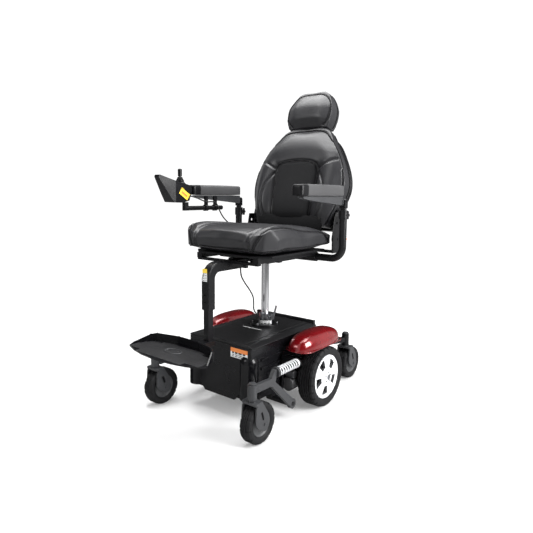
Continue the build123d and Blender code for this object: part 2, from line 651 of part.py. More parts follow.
# ---------------------------------------------------------------- backrest
def back_outline(inset, low, high):
    """Closed outline of the back in its own frame: shoulders, bolsters and narrow waist."""
    half = SEAT_W / 2 - inset
    right = [(half - 45, low), (half - 18, 112), (half + 8, 175), (half + 20, 225),
             (half + 13, 285), (half - 30, 383), (half - 72, 447)]
    top = [(BACK_TOP_W + 22 - inset, high - 12), (BACK_TOP_W - inset, high), (0, high + 4)]
    points = right + top
    mirrored = [(-x, z) for x, z in reversed(points[:-1])]
    curve = Spline(*[(x, 0, z) for x, z in points + mirrored])
    base = Line((45 - half, 0, low), (half - 45, 0, low))
    return make_face(Curve() + [curve, base])


def back_cushion():
    face = Pos(0, BACK_FRONT, 0) * back_outline(0, 48, 506)
    body = extrude(face, amount=BACK_MID - GAP - BACK_FRONT, dir=(0, 1, 0))
    clear = block(EAR_X - GAP, EAR_X + 60, -100, 100, 0, EAR_TOP + GAP)
    return in_back(body - clear - other_side(clear))


def back_shell():
    face = Pos(0, BACK_MID, 0) * back_outline(5, 40, 492)
    body = extrude(face, amount=BACK_REAR - BACK_MID, dir=(0, 1, 0))
    for side in (-1, 1):
        x0, x1 = sorted((side * EAR_X, side * (EAR_X + EAR_T)))
        ear = block(x0, x1, -24, BACK_REAR, -20, EAR_TOP)
        ear = fillet(edges_along(ear, Axis.X), 20)
        root = side * (SEAT_W / 2 - 60)
        bridge = block(min(root, x0), max(root, x1), BACK_MID, BACK_REAR, 44, 130)
        body += ear + bridge
        pin = rod((x0, 0, 0), (side * (SEAT_W / 2 + 13), 0, 0), HINGE_PIN_R)
        body += pin if side > 0 else rod((x1, 0, 0), (side * (SEAT_W / 2 + 13), 0, 0), HINGE_PIN_R)
    for x in (-HEAD_ROD_X, HEAD_ROD_X):
        body -= rod((x, HEAD_ROD_Y, 380), (x, HEAD_ROD_Y, 520), HEAD_ROD_R + RUNNING)
    return in_back(body)


def headrest_post():
    posts = []
    for x in (-HEAD_ROD_X, HEAD_ROD_X):
        posts.append(rod((x, HEAD_ROD_Y, 388), (x, HEAD_ROD_Y, HEAD_BOTTOM + 60), HEAD_ROD_R))
    bridge = rod((-HEAD_ROD_X, HEAD_ROD_Y, HEAD_BOTTOM + 55),
                 (HEAD_ROD_X, HEAD_ROD_Y, HEAD_BOTTOM + 55), HEAD_ROD_R)
    return in_back(posts[0] + posts[1] + bridge)


def headrest_pad():
    low = HEAD_BOTTOM
    right = [(104, low), (121, low + 45), (122, low + 90), (104, low + 135), (70, low + 172)]
    points = right + [(0, low + 177)]
    mirrored = [(-x, z) for x, z in reversed(right)]
    curve = Spline(*[(x, -42, z) for x, z in points + mirrored])
    base = Line((-104, -42, low), (104, -42, low))
    body = extrude(make_face(Curve() + [curve, base]), amount=82, dir=(0, 1, 0))
    grow = HEAD_ROD_R + GAP
    for x in (-HEAD_ROD_X, HEAD_ROD_X):
        body -= rod((x, HEAD_ROD_Y, low - 1), (x, HEAD_ROD_Y, low + 66), grow)
    body -= block(-HEAD_ROD_X, HEAD_ROD_X, HEAD_ROD_Y - grow, 41, low + 55 - grow, low + 55 + grow)
    return in_back(body)


# ---------------------------------------------------------------- controller
def controller_bracket():
    x = 15 - ARMREST_X
    z = PAD_Z - 56
    tube = rod((x, -279, z), (x, -46, z), 10)
    for y in (-150, -92):
        hanger = block(PAD_W / 4 - ARMREST_X + GAP, x + 6, y - 9, y + 9, z, PAD_Z - 4)
        tube += hanger + rod((x, y - 9, z), (x, y + 9, z), 14)
    tube += block(x - 8, x + 8, -284, -262, z - 10, z + 26)
    return tube


def controller_housing():
    x, y = STICK
    z = STICK_Z
    outline = [PANEL_FRONT, PANEL_BACK, (-252, z + 7), (-246, z - 12), (-262, z - 57),
               (-300, z - 66), (-345, z - 64), (-372, z - 26), (-414, z + 40)]
    body = along_x(outline, x - 33, x + 33)
    body = fillet(edges_along(body, Axis.X), 4)
    # seen from above the front narrows to a nose
    body = body & along_z([(x - 34, -240), (x + 34, -240), (x + 34, -335), (x + 13, -416),
                           (x - 13, -416), (x - 34, -335)], z - 80, z + 80)
    body -= Pos(x, y, STICK_Z) * Sphere(BALL_R + 0.5)
    for side in (-1, 1):
        body -= rod((x, y, STICK_Z), (x + side * (BALL_R + 3.5), y, STICK_Z), GIMBAL_PIN_R + RUNNING)
    return body - button(BUTTON_Y, 0.3, 3)


def button(y, grow, deep):
    """A round key square to the sloping panel, standing 2 mm proud."""
    run = PANEL_BACK[0] - PANEL_FRONT[0]
    rise = PANEL_FRONT[1] - PANEL_BACK[1]
    surface_z = PANEL_BACK[1] + (PANEL_BACK[0] - y) * rise / run
    key = rod((0, 0, -6 - deep), (0, 0, 2), 7 + grow)
    return Pos(STICK[0], y, surface_z) * Rot(-math.degrees(math.atan2(rise, run)), 0, 0) * key


def joystick_gimbal():
    x, y = STICK
    z = STICK_Z
    hoop = ring((x, y, z - 4), (x, y, z + 4), 20, 13)
    pins = rod((x - BALL_R - 3, y, z), (x - 15, y, z), GIMBAL_PIN_R)
    pins += rod((x + 15, y, z), (x + BALL_R + 3, y, z), GIMBAL_PIN_R)
    hoop += pins
    return hoop - rod((x, y - 25, z), (x, y + 25, z), GIMBAL_PIN_R + RUNNING)


def joystick():
    x, y = STICK
    z = STICK_Z
    dome = Pos(x, y, z) * (Sphere(BALL_R) - Sphere(BALL_R - 2.5))
    dome = dome & block(x - 40, x + 40, y - 40, y + 40, z + 14, z + 40)
    stick = rod((x, y, z - 6), (x, y, z + 62), 4)
    hub = Pos(x, y, z) * Sphere(8)
    pins = rod((x, y - 19, z), (x, y + 19, z), GIMBAL_PIN_R)
    boot = Pos(x, y, z + 27) * extrude(Circle(15), amount=16, taper=25)
    knob = rod((x, y, z + 46), (x, y, z + 78), 9)
    knob = fillet(knob.faces().sort_by(Axis.Z)[-1].edges(), 5)
    return dome + stick + hub + pins + boot + knob


# ---------------------------------------------------------------- footrest
def footrest_tube():
    side = SLEEVE_W / 2 - SLEEVE_WALL - RUNNING
    leg = block(-side, side, LEG_Y - side, LEG_Y + side, LEG_BOTTOM, LEG_TOP)
    foot = block(-20, 20, PLATE_HINGE_Y + 16, LEG_Y + 20, LEG_BOTTOM - 8, LEG_BOTTOM + 12)
    body = leg + foot
    for x0 in (-20, 12):
        body += block(x0, x0 + 8, PLATE_HINGE_Y, PLATE_HINGE_Y + 20, LEG_BOTTOM - 8, LEG_BOTTOM + 12)
        body += rod((x0, PLATE_HINGE_Y, HINGE_PLATE_Z), (x0 + 8, PLATE_HINGE_Y, HINGE_PLATE_Z), 10)
    body -= rod((-21, PLATE_HINGE_Y, HINGE_PLATE_Z), (21, PLATE_HINGE_Y, HINGE_PLATE_Z),
                PLATE_PIN_R + RUNNING)
    return body


def footplate():
    """Fan-shaped foot board with a raised back wall and wings, and its hinge knuckle."""
    z = PLATE_Z
    back = [(50, -513), (145, -537), (165, -552)]
    front = [(200, -612), (190, -634), (136, -655), (78, -668)]
    right = back + front
    plan = right + [(0, -675)] + [(-x, y) for x, y in reversed(right)]
    body = along_z(plan, z, z + PLATE_T)
    wall_line = [(-200, -612), (-165, -552), (-145, -537), (-50, -513), (50, -513), (145, -537),
                 (165, -552), (200, -612)]
    heights = [z + 8, z + 34, z + 38, z + 38, z + 38, z + 38, z + 34, z + 8]
    spans = zip(wall_line, wall_line[1:], heights, heights[1:])
    for (x0, y0), (x1, y1), h0, h1 in spans:
        face = make_face(Polyline((x0, y0, z), (x1, y1, z), (x1, y1, h1), (x0, y0, h0), close=True))
        across = Vector(y0 - y1, x1 - x0, 0).normalized()
        body += extrude(face, amount=WALL_T, dir=-across)
        body += rod((x1, y1, z), (x1, y1, h1), WALL_T) if abs(x1) < 200 else Part()
    knuckle = rod((-11.5, PLATE_HINGE_Y, HINGE_PLATE_Z), (11.5, PLATE_HINGE_Y, HINGE_PLATE_Z), 9)
    knuckle += block(-11.5, 11.5, -560, PLATE_HINGE_Y, HINGE_PLATE_Z - 8, z + 1)
    pin = rod((-22, PLATE_HINGE_Y, HINGE_PLATE_Z), (22, PLATE_HINGE_Y, HINGE_PLATE_Z), PLATE_PIN_R)
    return body + knuckle + pin


# ---------------------------------------------------------------- cables
def lift_cable():
    """Cable that hangs in a slack bow from its plug under the seat to the lift's collar."""
    gland = (GLAND[0], GLAND[1], COLUMN_TOP)
    points = [(34, -256, 588), (33, -255, 562), (27, -228, 530), (19, -184, 492),
              (10, -144, 452), (4, -134, 418), (0, -130, 390), (-6, -104, 368),
              (*GLAND, 354), gland]
    plug = block(25, 43, -264, -248, 588, SEAT_Z - 8 - GAP)
    return plug + cord(points, CABLE_R, "lift_cable")


def joystick_cable():
    x = -247
    gx, gy = GROMMET
    points = [(x - 5, -254, 872), (x - 2, -224, 866), (x, -192, 854), (x, -160, 846),
              (x, -128, 849), (x, -100, 842), (x, -84, 814), (x, -62, 782), (x, -34, 758),
              (x, 0, 738), (x, 34, 716), (gx, gy, 684), (gx, gy, SEAT_Z - 8)]
    return cord(points, CABLE_R, "joystick_cable")


# ---------------------------------------------------------------- assembly
def build():
    nodes = {
        "chassis_frame": chassis_frame(),
        "rear_arms": rear_arms(),
        "front_casing": front_casing(),
        "deck_cover": deck_cover(),
        "batteries": batteries(),
        "power_module": power_module(),
        "lift_column": lift_column(),
        "lift_clamp": lift_clamp(),
        "gearmotors": both(gearmotor()),
        "motor_brakes": both(brake()),
        "lift_ram": lift_ram(),
        "seat_frame": seat_frame(),
        "footrest_sleeve": footrest_sleeve(),
        "seat_cushion": seat_cushion(),
        "arm_supports": both(arm_support()),
        "back_shell": back_shell(),
        "back_cushion": back_cushion(),
        "headrest_post": headrest_post(),
        "headrest_pad": headrest_pad(),
        "controller_bracket": controller_bracket(),
        "controller_housing": controller_housing(),
        "joystick_gimbal": joystick_gimbal(),
        "joystick": joystick(),
        "power_button": button(BUTTON_Y, 0, 0),
        "footrest_tube": footrest_tube(),
        "footplate": footplate(),
        "lift_cable": lift_cable(),
        "joystick_cable": joystick_cable(),
    }
    sided = {
        "fender": fender(),
        "front_arm": front_arm(),
        "suspension_spring": suspension_spring(),
        "drive_tyre": drive_tyre(),
        "drive_rim": drive_rim(),
        "freewheel_lever": freewheel_lever(),
        "arm_knob": arm_knob(),
        "arm_post": arm_post(),
        "armrest": armrest(),
        "armrest_pad": armrest_pad(),
    }
    for end, stem in (("front", FRONT_STEM), ("rear", REAR_STEM)):
        fork, rim, tyre = caster(*stem)
        sided[end + "_fork"] = fork
        sided[end + "_caster_rim"] = rim
        sided[end + "_caster_tyre"] = tyre
    for name, shape in sided.items():
        nodes[name + "_left"] = shape
        nodes[name + "_right"] = other_side(shape)
    return nodes


os.makedirs("parts", exist_ok=True)
for name, shape in build().items():
    export_step(shape, f"parts/{name}.step")
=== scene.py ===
# %% [markdown]
# # A power wheelchair with a seat lift
# The metal parts, wheels and castings come from an engineering model, so their places are already
# right. This lesson gives them paint, rubber and chrome, and adds what such a model can't have:
# stuffed cushions with seams, treaded tyres, coil springs, cables, labels and a lit studio.

# %% Load the frame
import json
import math
import bpy
import numpy as np
from mathutils import Matrix, Vector
from mathutils.bvhtree import BVHTree


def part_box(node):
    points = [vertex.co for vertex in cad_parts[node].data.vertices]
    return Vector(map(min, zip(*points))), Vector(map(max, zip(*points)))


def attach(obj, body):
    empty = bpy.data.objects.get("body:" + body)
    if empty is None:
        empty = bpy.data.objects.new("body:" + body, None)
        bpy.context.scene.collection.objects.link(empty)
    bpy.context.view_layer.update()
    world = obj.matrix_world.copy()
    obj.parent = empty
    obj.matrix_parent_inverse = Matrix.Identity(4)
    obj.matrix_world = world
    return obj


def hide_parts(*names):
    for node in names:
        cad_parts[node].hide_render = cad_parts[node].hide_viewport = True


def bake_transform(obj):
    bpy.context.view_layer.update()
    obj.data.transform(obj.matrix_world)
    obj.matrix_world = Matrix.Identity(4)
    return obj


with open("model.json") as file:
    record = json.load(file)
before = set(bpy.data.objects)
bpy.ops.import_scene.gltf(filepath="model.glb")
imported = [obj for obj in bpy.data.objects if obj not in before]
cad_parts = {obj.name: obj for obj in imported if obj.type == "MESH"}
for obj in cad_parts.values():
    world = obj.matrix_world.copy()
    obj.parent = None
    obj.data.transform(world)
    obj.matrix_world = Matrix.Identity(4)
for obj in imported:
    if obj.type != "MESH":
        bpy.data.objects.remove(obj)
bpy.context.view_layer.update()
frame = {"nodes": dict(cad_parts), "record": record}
nodes = frame["nodes"]
SIDES = {"left": 1, "right": -1}


def added(name, data):
    """A new object in the scene that shows data."""
    obj = bpy.data.objects.new(name, data)
    bpy.context.scene.collection.objects.link(obj)
    return obj


# %% [markdown]
# ## Camera and light
# The chair is seen from its front left, level with the arms, by a slightly wide lens two metres away.
# The light is a studio's: one broad soft box on the chair's left, which draws the pale edges of the
# arm and the headrest, one overhead for the deck and fenders, and a weak one in front.

# %% Camera
EYE = Vector((1.289, -1.713, 0.881))
TARGET = Vector((-0.029, -0.096, 0.628))
ROLL = 0.47  # degrees
camera = added("camera", bpy.data.cameras.new("camera"))
camera.data.lens = 32.8
camera.data.shift_x = 0.0239
camera.data.shift_y = -0.0245
camera.data.clip_end = 60
look = (TARGET - EYE).to_track_quat("-Z", "Y").to_matrix().to_4x4()
camera.matrix_world = Matrix.Translation(EYE) @ look @ Matrix.Rotation(math.radians(ROLL), 4, "Z")
bpy.context.scene.camera = camera
bpy.context.scene.view_settings.view_transform = "Standard"
print("camera is", round((TARGET - EYE).length, 2), "m away")


# %% Soft boxes
def soft_box(name, place, aim, width, height, watts):
    """A lamp as wide and high as given, turned towards the point aim."""
    lamp = bpy.data.lights.new(name, "AREA")
    lamp.shape = "RECTANGLE"
    lamp.size = width
    lamp.size_y = height
    lamp.energy = watts
    holder = added(name, lamp)
    holder.location = place
    holder.rotation_euler = (Vector(aim) - Vector(place)).to_track_quat("-Z", "Y").to_euler()


soft_box("key", (2.4, 0.3, 1.6), (0, 0, 0.7), 1.2, 1.8, 115)
soft_box("top", (-0.2, 0.2, 2.8), (0, 0, 0.5), 2.4, 2.0, 130)
soft_box("front", (-1.2, -3.2, 2.2), (0, 0, 0.5), 1.4, 1.2, 30)

print("three soft boxes")

# %% [markdown]
# ## Working habits
# Every modelling operator acts on what is selected, so each step starts by selecting nothing, then
# picks faces or edges by where they are or which way they face. These helpers do only that.

# %% Selection helpers
def alone(obj):
    """Makes obj the only selected object, and the active one."""
    bpy.ops.object.select_all(action="DESELECT")
    obj.select_set(True)
    bpy.context.view_layer.objects.active = obj


def pick(obj, test, kind="FACE"):
    """Opens obj in edit mode with only the faces, edges or vertices that pass the test selected."""
    alone(obj)
    bpy.ops.object.mode_set(mode="EDIT")
    bpy.ops.mesh.select_mode(type=kind)
    bpy.ops.mesh.select_all(action="DESELECT")
    bpy.ops.object.mode_set(mode="OBJECT")
    mesh = obj.data
    for part in {"FACE": mesh.polygons, "EDGE": mesh.edges, "VERT": mesh.vertices}[kind]:
        part.select = bool(test(part))
    bpy.ops.object.mode_set(mode="EDIT")


def close(obj):
    bpy.ops.object.mode_set(mode="OBJECT")
    return obj


def settle(obj):
    """Moves the object's place and turn into its mesh."""
    alone(obj)
    bpy.ops.object.transform_apply(location=True, rotation=True, scale=True)


def fresh(name):
    """The object that an operator just added, named and settled."""
    obj = bpy.context.object
    obj.name = name
    settle(obj)
    return obj


def modify(obj, kind, **values):
    """Adds a modifier, sets it and applies it."""
    alone(obj)
    modifier = obj.modifiers.new(kind.lower(), kind)
    for key, value in values.items():
        setattr(modifier, key, value)
    bpy.ops.object.modifier_apply(modifier=modifier.name)


def outward(obj):
    """Merges doubles, then turns all faces outwards."""
    pick(obj, lambda part: True)
    bpy.ops.mesh.remove_doubles(threshold=0.00005)
    bpy.ops.mesh.normals_make_consistent(inside=False)
    close(obj)


def smooth(obj, degrees=35):
    """Shades the faces smoothly, apart from edges sharper than the angle."""
    alone(obj)
    bpy.ops.object.shade_smooth_by_angle(angle=math.radians(degrees))


def middle(name):
    low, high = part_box(name)
    return (low + high) / 2


def coated(obj, material):
    """Gives the piece its material."""
    obj.data.materials.clear()
    obj.data.materials.append(material)


def wear(obj, material, body):
    """Gives the piece its material and its body."""
    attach(obj, body)
    coated(obj, material)
    return obj


def inset(obj, test, *steps):
    """Insets the faces that pass the test, once for each (thickness, depth)."""
    pick(obj, test)
    for thickness, depth in steps:
        bpy.ops.mesh.inset(thickness=thickness, depth=depth)
    close(obj)


def sink(distance):
    """Extrudes the selected faces into the piece."""
    bpy.ops.mesh.extrude_region_shrink_fatten(TRANSFORM_OT_shrink_fatten={"value": -distance})


# %% [markdown]
# ## Finishes
# Real paint and plastic are never one flat colour. Three effects are shared by every finish, each a
# node group: `Smudge` varies gloss in soft patches, `Grain` makes the fine relief of leather or
# moulding, and `Edge` rounds sharp edges in the shading and says where they are, so that edges can be
# painted paler, partly as edge wear and partly as a painted highlight.

# %% Shared effects
def new_group(name, inputs, outputs):
    group = bpy.data.node_groups.new(name, "ShaderNodeTree")
    kinds = {"v": "NodeSocketVector", "f": "NodeSocketFloat", "c": "NodeSocketColor"}
    for label, kind, value in inputs:
        socket = group.interface.new_socket(label, in_out="INPUT", socket_type=kinds[kind])
        if value is not None:
            socket.default_value = value
    for label, kind in outputs:
        group.interface.new_socket(label, in_out="OUTPUT", socket_type=kinds[kind])
    return group, group.nodes.new("NodeGroupInput"), group.nodes.new("NodeGroupOutput")


def node(tree, kind, links=(), **values):
    """Adds a node, sets its properties and plugs (socket, source) pairs into it."""
    made = tree.nodes.new("ShaderNode" + kind)
    for key, value in values.items():
        setattr(made, key, value)
    for socket, source in links:
        if isinstance(source, bpy.types.NodeSocket):
            tree.links.new(source, made.inputs[socket])
        else:
            made.inputs[socket].default_value = source
    return made


def smudge_group():
    group, start, end = new_group(
        "Smudge", [("Vector", "v", None), ("Scale", "f", 8), ("Low", "f", 0.3), ("High", "f", 0.5)],
        [("Value", "f"), ("Mask", "f")])
    broad = node(group, "TexNoise", [("Vector", start.outputs["Vector"]),
            ("Scale", start.outputs["Scale"]), ("Detail", 4)])
    level = node(group, "MapRange", [("Value", broad.outputs[0]), ("From Min", 0.32),
            ("From Max", 0.68), ("To Min", start.outputs["Low"]),
            ("To Max", start.outputs["High"])])
    group.links.new(level.outputs[0], end.inputs["Value"])
    group.links.new(broad.outputs[0], end.inputs["Mask"])
    return group


def grain_group():
    group, start, end = new_group(
        "Grain", [("Vector", "v", None), ("Scale", "f", 600), ("Pebble", "f", 0.6)],
        [("Height", "f")])
    cells = node(group, "TexVoronoi", [("Vector", start.outputs["Vector"]),
            ("Scale", start.outputs["Scale"])], feature="SMOOTH_F1")
    fine = node(group, "TexNoise", [("Vector", start.outputs["Vector"]),
            ("Scale", start.outputs["Scale"]), ("Detail", 3)])
    blend = node(group, "Mix", [(0, start.outputs["Pebble"]), (2, fine.outputs[0]),
            (3, cells.outputs["Distance"])])
    group.links.new(blend.outputs[0], end.inputs["Height"])
    return group


def edge_group():
    group, start, end = new_group("Edge", [("Radius", "f", 0.001)],
            [("Normal", "v"), ("Mask", "f")])
    bevel = node(group, "Bevel", [("Radius", start.outputs["Radius"])], samples=4)
    plain = node(group, "NewGeometry")
    agree = node(group, "VectorMath", [(0, bevel.outputs[0]), (1, plain.outputs["Normal"])],
            operation="DOT_PRODUCT")
    mask = node(group, "MapRange", [("Value", agree.outputs["Value"]), ("From Min", 1),
            ("From Max", 0.75)])
    group.links.new(bevel.outputs[0], end.inputs["Normal"])
    group.links.new(mask.outputs[0], end.inputs["Mask"])
    return group


EFFECTS = {"smudge": smudge_group(), "grain": grain_group(), "edge": edge_group()}
print("shared effects:", ", ".join(EFFECTS))

# %% [markdown]
# ## The room
# Polished parts show what stands around them. So mirrored rays see light and dark bands round the
# room, like windows between black cloths, and all other rays see an even white.

# %% Room
BANDS = ((0.0, 0.1), (0.16, 0.03), (0.2, 0.9), (0.3, 0.9), (0.34, 0.03), (0.58, 0.03), (0.62, 0.8),
        (0.7, 0.8), (0.74, 0.02), (0.9, 0.05), (0.95, 1.0), (1.0, 0.1))
world = bpy.data.worlds.new("studio")
world.use_nodes = True
air = world.node_tree
backdrop = air.nodes["Background"]
ray = node(air, "LightPath")
glossy = ray.outputs["Is Glossy Ray"]
round_room = node(air, "TexGradient", [("Vector", node(air, "TexCoord").outputs["Generated"])],
        gradient_type="RADIAL")
bands = node(air, "ValToRGB", [("Fac", round_room.outputs["Color"])])
for place, value in BANDS:
    stop = bands.color_ramp.elements.new(place)
    stop.color = (value, value, value, 1)
bands.color_ramp.elements.remove(bands.color_ramp.elements[0])
tint = node(air, "Mix", [(0, glossy), (6, (1, 1, 1, 1)), (7, bands.outputs["Color"])],
        data_type="RGBA")
glare = node(air, "Math", [(0, glossy), (1, 0.5), (2, 0.3)], operation="MULTIPLY_ADD")
total = node(air, "Math", [(0, ray.outputs["Is Camera Ray"]), (1, 0.8), (2, glare.outputs[0])],
        operation="MULTIPLY_ADD")
air.links.new(tint.outputs[2], backdrop.inputs["Color"])
air.links.new(total.outputs[0], backdrop.inputs["Strength"])
bpy.context.scene.world = world
print("room with", len(bands.color_ramp.elements), "bands")


# %% [markdown]
# ## One recipe, many finishes
# Each finish is the same small tree: a colour that shifts a little over the surface and is painted
# paler on edges, partly as edge wear and partly as a painted highlight, a gloss that varies, and a
# relief. Only the values differ, so a maker keeps them side by side. Constants such as coat and metal
# are set on the shader itself.

# %% Finish recipe
# how much paler edges are painted: partly edge wear, partly a painted highlight
EDGE_PALER = 1.6
EDGE_LIFT = 0.05


def finish(name, colour, gloss, metal=0.0, coat=0.0, coat_rough=0.08, grain=0.0, scale=700,
        pebble=0.2, edge=0.0008, edge_wear_and_highlight=0.25, shift=0.25, specular=0.5, sheen=0.0):
    """colour is linear RGB; gloss the (lowest, highest) roughness; grain the relief in metres."""
    made = bpy.data.materials.new(name)
    made.use_nodes = True
    tree = made.node_tree
    shader = tree.nodes["Principled BSDF"]
    place = node(tree, "TexCoord").outputs["Object"]

    def effect(kind, **values):
        used = tree.nodes.new("ShaderNodeGroup")
        used.node_tree = EFFECTS[kind]
        for key, value in values.items():
            used.inputs[key].default_value = value
        if "Vector" in used.inputs:
            tree.links.new(place, used.inputs["Vector"])
        return used

    smudge = effect("smudge", Scale=9, Low=gloss[0], High=gloss[1])
    rim = effect("edge", Radius=edge)
    dark = [c * (1 - shift) for c in colour]
    pale = [min(1, c * (1 + shift)) for c in colour]
    body = node(tree, "Mix", [(0, smudge.outputs["Mask"]), (6, (*dark, 1)), (7, (*pale, 1))],
            data_type="RGBA")
    # the edge mask paints edges paler: partly edge wear, partly a painted highlight
    edge_tone = [min(1, c * EDGE_PALER + EDGE_LIFT) for c in colour]
    amount = node(tree, "Math", [(0, rim.outputs["Mask"]), (1, edge_wear_and_highlight)], operation="MULTIPLY")
    mixed = node(tree, "Mix", [(0, amount.outputs[0]), (6, body.outputs[2]), (7, (*edge_tone, 1))],
            data_type="RGBA")
    tree.links.new(mixed.outputs[2], shader.inputs["Base Color"])
    tree.links.new(smudge.outputs["Value"], shader.inputs["Roughness"])
    if grain:
        relief = effect("grain", Scale=scale, Pebble=pebble)
        bump = node(tree, "Bump", [("Height", relief.outputs[0]), ("Strength", 1.0),
                ("Distance", grain), ("Normal", rim.outputs["Normal"])])
        tree.links.new(bump.outputs[0], shader.inputs["Normal"])
    else:
        tree.links.new(rim.outputs["Normal"], shader.inputs["Normal"])
    shader.inputs["Metallic"].default_value = metal
    shader.inputs["Coat Weight"].default_value = coat
    shader.inputs["Coat Roughness"].default_value = coat_rough
    shader.inputs["Specular IOR Level"].default_value = specular
    shader.inputs["Sheen Weight"].default_value = sheen
    return made


# %% Finishes of this chair
LOOK = {
    "frame_black": finish("black_powder_coat", (0.006, 0.006, 0.007), (0.25, 0.38), grain=0.00006,
        scale=1600, edge_wear_and_highlight=0.3, specular=0.3),
    "casing": finish("black_moulding", (0.004, 0.004, 0.005), (0.18, 0.3), grain=0.00005,
        scale=1300, specular=0.32),
    "deck": finish("grained_deck", (0.012, 0.012, 0.013), (0.32, 0.42), grain=0.00012, scale=900,
        edge=0.003, specular=0.35),
    "red_gloss": finish("red_paint", (0.2, 0.002, 0.005), (0.22, 0.3), metal=0.35, coat=1.0,
        coat_rough=0.03, edge=0.002, edge_wear_and_highlight=0.1),
    "chrome": finish("polished_steel", (0.78, 0.78, 0.8), (0.05, 0.12), metal=1.0, edge_wear_and_highlight=0.1,
        shift=0.05),
    "zinc": finish("zinc_plate", (0.4, 0.41, 0.43), (0.22, 0.38), metal=1.0, shift=0.12),
    "rubber": finish("tyre_rubber", (0.008, 0.008, 0.009), (0.5, 0.7), grain=0.00015, scale=900,
        edge_wear_and_highlight=0.4, specular=0.3),
    "rim_white": finish("white_rim_paint", (0.8, 0.81, 0.83), (0.25, 0.35), coat=0.3, edge_wear_and_highlight=0.1,
        shift=0.04),
    "rim_grey": finish("grey_hub", (0.075, 0.077, 0.08), (0.4, 0.55), grain=0.00006, scale=1500),
    "grey_cast": finish("grey_cast_paint", (0.042, 0.043, 0.046), (0.3, 0.44), grain=0.00012,
        scale=1100, edge_wear_and_highlight=0.6, specular=0.4),
    "leatherette": finish("black_leatherette", (0.019, 0.019, 0.021), (0.3, 0.42), grain=0.00022,
        scale=480, pebble=0.75, edge_wear_and_highlight=0.0, shift=0.12, specular=0.42),
    "insert": finish("woven_insert", (0.005, 0.005, 0.006), (0.6, 0.75), grain=0.0003, scale=900,
        pebble=0.4, edge_wear_and_highlight=0.0, shift=0.2, sheen=0.04, specular=0.2),
    "soft_pad": finish("arm_pad_skin", (0.05, 0.05, 0.052), (0.35, 0.5), grain=0.00018, scale=700,
        pebble=0.6, edge_wear_and_highlight=0.0),
    "controls": finish("control_housing", (0.005, 0.005, 0.006), (0.28, 0.4), grain=0.00004,
        scale=1500, specular=0.22),
    "battery": finish("battery_case", (0.1, 0.11, 0.12), (0.4, 0.5), grain=0.00008),
    "cable": finish("cable_sheath", (0.012, 0.012, 0.013), (0.4, 0.5), edge_wear_and_highlight=0.0),
    "motor": finish("cast_aluminium", (0.16, 0.16, 0.165), (0.35, 0.5), metal=0.8, grain=0.0001),
    "key_amber": finish("amber_key", (0.7, 0.33, 0.03), (0.3, 0.4), edge_wear_and_highlight=0.1),
    "stitch": finish("thread", (0.008, 0.008, 0.009), (0.6, 0.8), edge_wear_and_highlight=0.0, specular=0.2),
    "reflector": finish("amber_reflector", (0.8, 0.2, 0.02), (0.1, 0.2), coat=0.6, edge_wear_and_highlight=0.1),
}
INKS = {"white": (0.75, 0.76, 0.76), "orange": (0.75, 0.22, 0.04), "yellow": (0.85, 0.6, 0.05)}
for ink, colour in INKS.items():
    LOOK["label_" + ink] = finish("printed_" + ink, colour, (0.4, 0.5), edge_wear_and_highlight=0.0, shift=0.05)
for part in frame["record"]["subparts"]:
    mesh = nodes[part["node"]].data
    mesh.materials.clear()
    mesh.materials.append(LOOK[part["material_slot"]])
print("finishes:", len(LOOK))

# %% [markdown]
# ## Stuffed pieces
# A cushion is a sewn cover pushed out by foam. Modelling that roundness by hand is slow, so the
# computer does what the foam does: a slightly small copy of the cushion's space is given an even
# mesh, its corners are eased, and a cloth simulation blows it up for twenty frames. How far any
# point may move is capped, and the push is evened out, as the filling does. Seams come afterwards,
# because the even mesh would erase them.

# %% Cloth recipe
FRAMES = 20
EVENINGS = 60
EVENING = 0.6  # how much of a point's push is taken from its neighbours each time


def read_points(obj, what="co"):
    """The places of all points, or their normals."""
    flat = np.zeros(len(obj.data.vertices) * 3)
    obj.data.vertices.foreach_get(what, flat)
    return flat.reshape(-1, 3)


def write_points(obj, points):
    """Moves the points of obj to the given places."""
    obj.data.vertices.foreach_set("co", points.ravel())
    obj.data.update()


def inflate(obj, cap, pressure):
    """Blows the closed mesh up as a stuffed cover; no point moves further than cap."""
    start = read_points(obj)
    cloth = obj.modifiers.new("stuffing", "CLOTH")
    cloth.settings.use_pressure = True
    cloth.settings.uniform_pressure_force = pressure
    cloth.settings.effector_weights.gravity = 0
    cloth.settings.quality = 4
    cloth.point_cache.frame_start = 1
    cloth.point_cache.frame_end = FRAMES
    for moment in range(1, FRAMES + 1):
        bpy.context.scene.frame_set(moment)
    alone(obj)
    bpy.ops.object.modifier_apply(modifier=cloth.name)
    bpy.context.scene.frame_set(1)
    moved = read_points(obj) - start
    reach = np.linalg.norm(moved, axis=1, keepdims=True)
    moved = moved * np.minimum(1, cap / np.maximum(reach, 1e-9))
    # each point's push is drawn towards its neighbours', so that creases can't gather
    pairs = np.array([edge.vertices[:] for edge in obj.data.edges])
    count = np.bincount(pairs.ravel(), minlength=len(moved))[:, None]
    for _ in range(EVENINGS):
        total = np.zeros_like(moved)
        np.add.at(total, pairs[:, 0], moved[pairs[:, 1]])
        np.add.at(total, pairs[:, 1], moved[pairs[:, 0]])
        moved = (1 - EVENING) * moved + EVENING * total / count
    write_points(obj, start + moved)


def fill_box(obj, source):
    """Stretches the finished cushion a little so that it fills the space it was given."""
    low, high = (np.array(corner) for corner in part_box(source))
    points = read_points(obj)
    lowest = points.min(axis=0)
    size = points.max(axis=0) - lowest
    write_points(obj, low + (points - lowest) / size * (high - low))


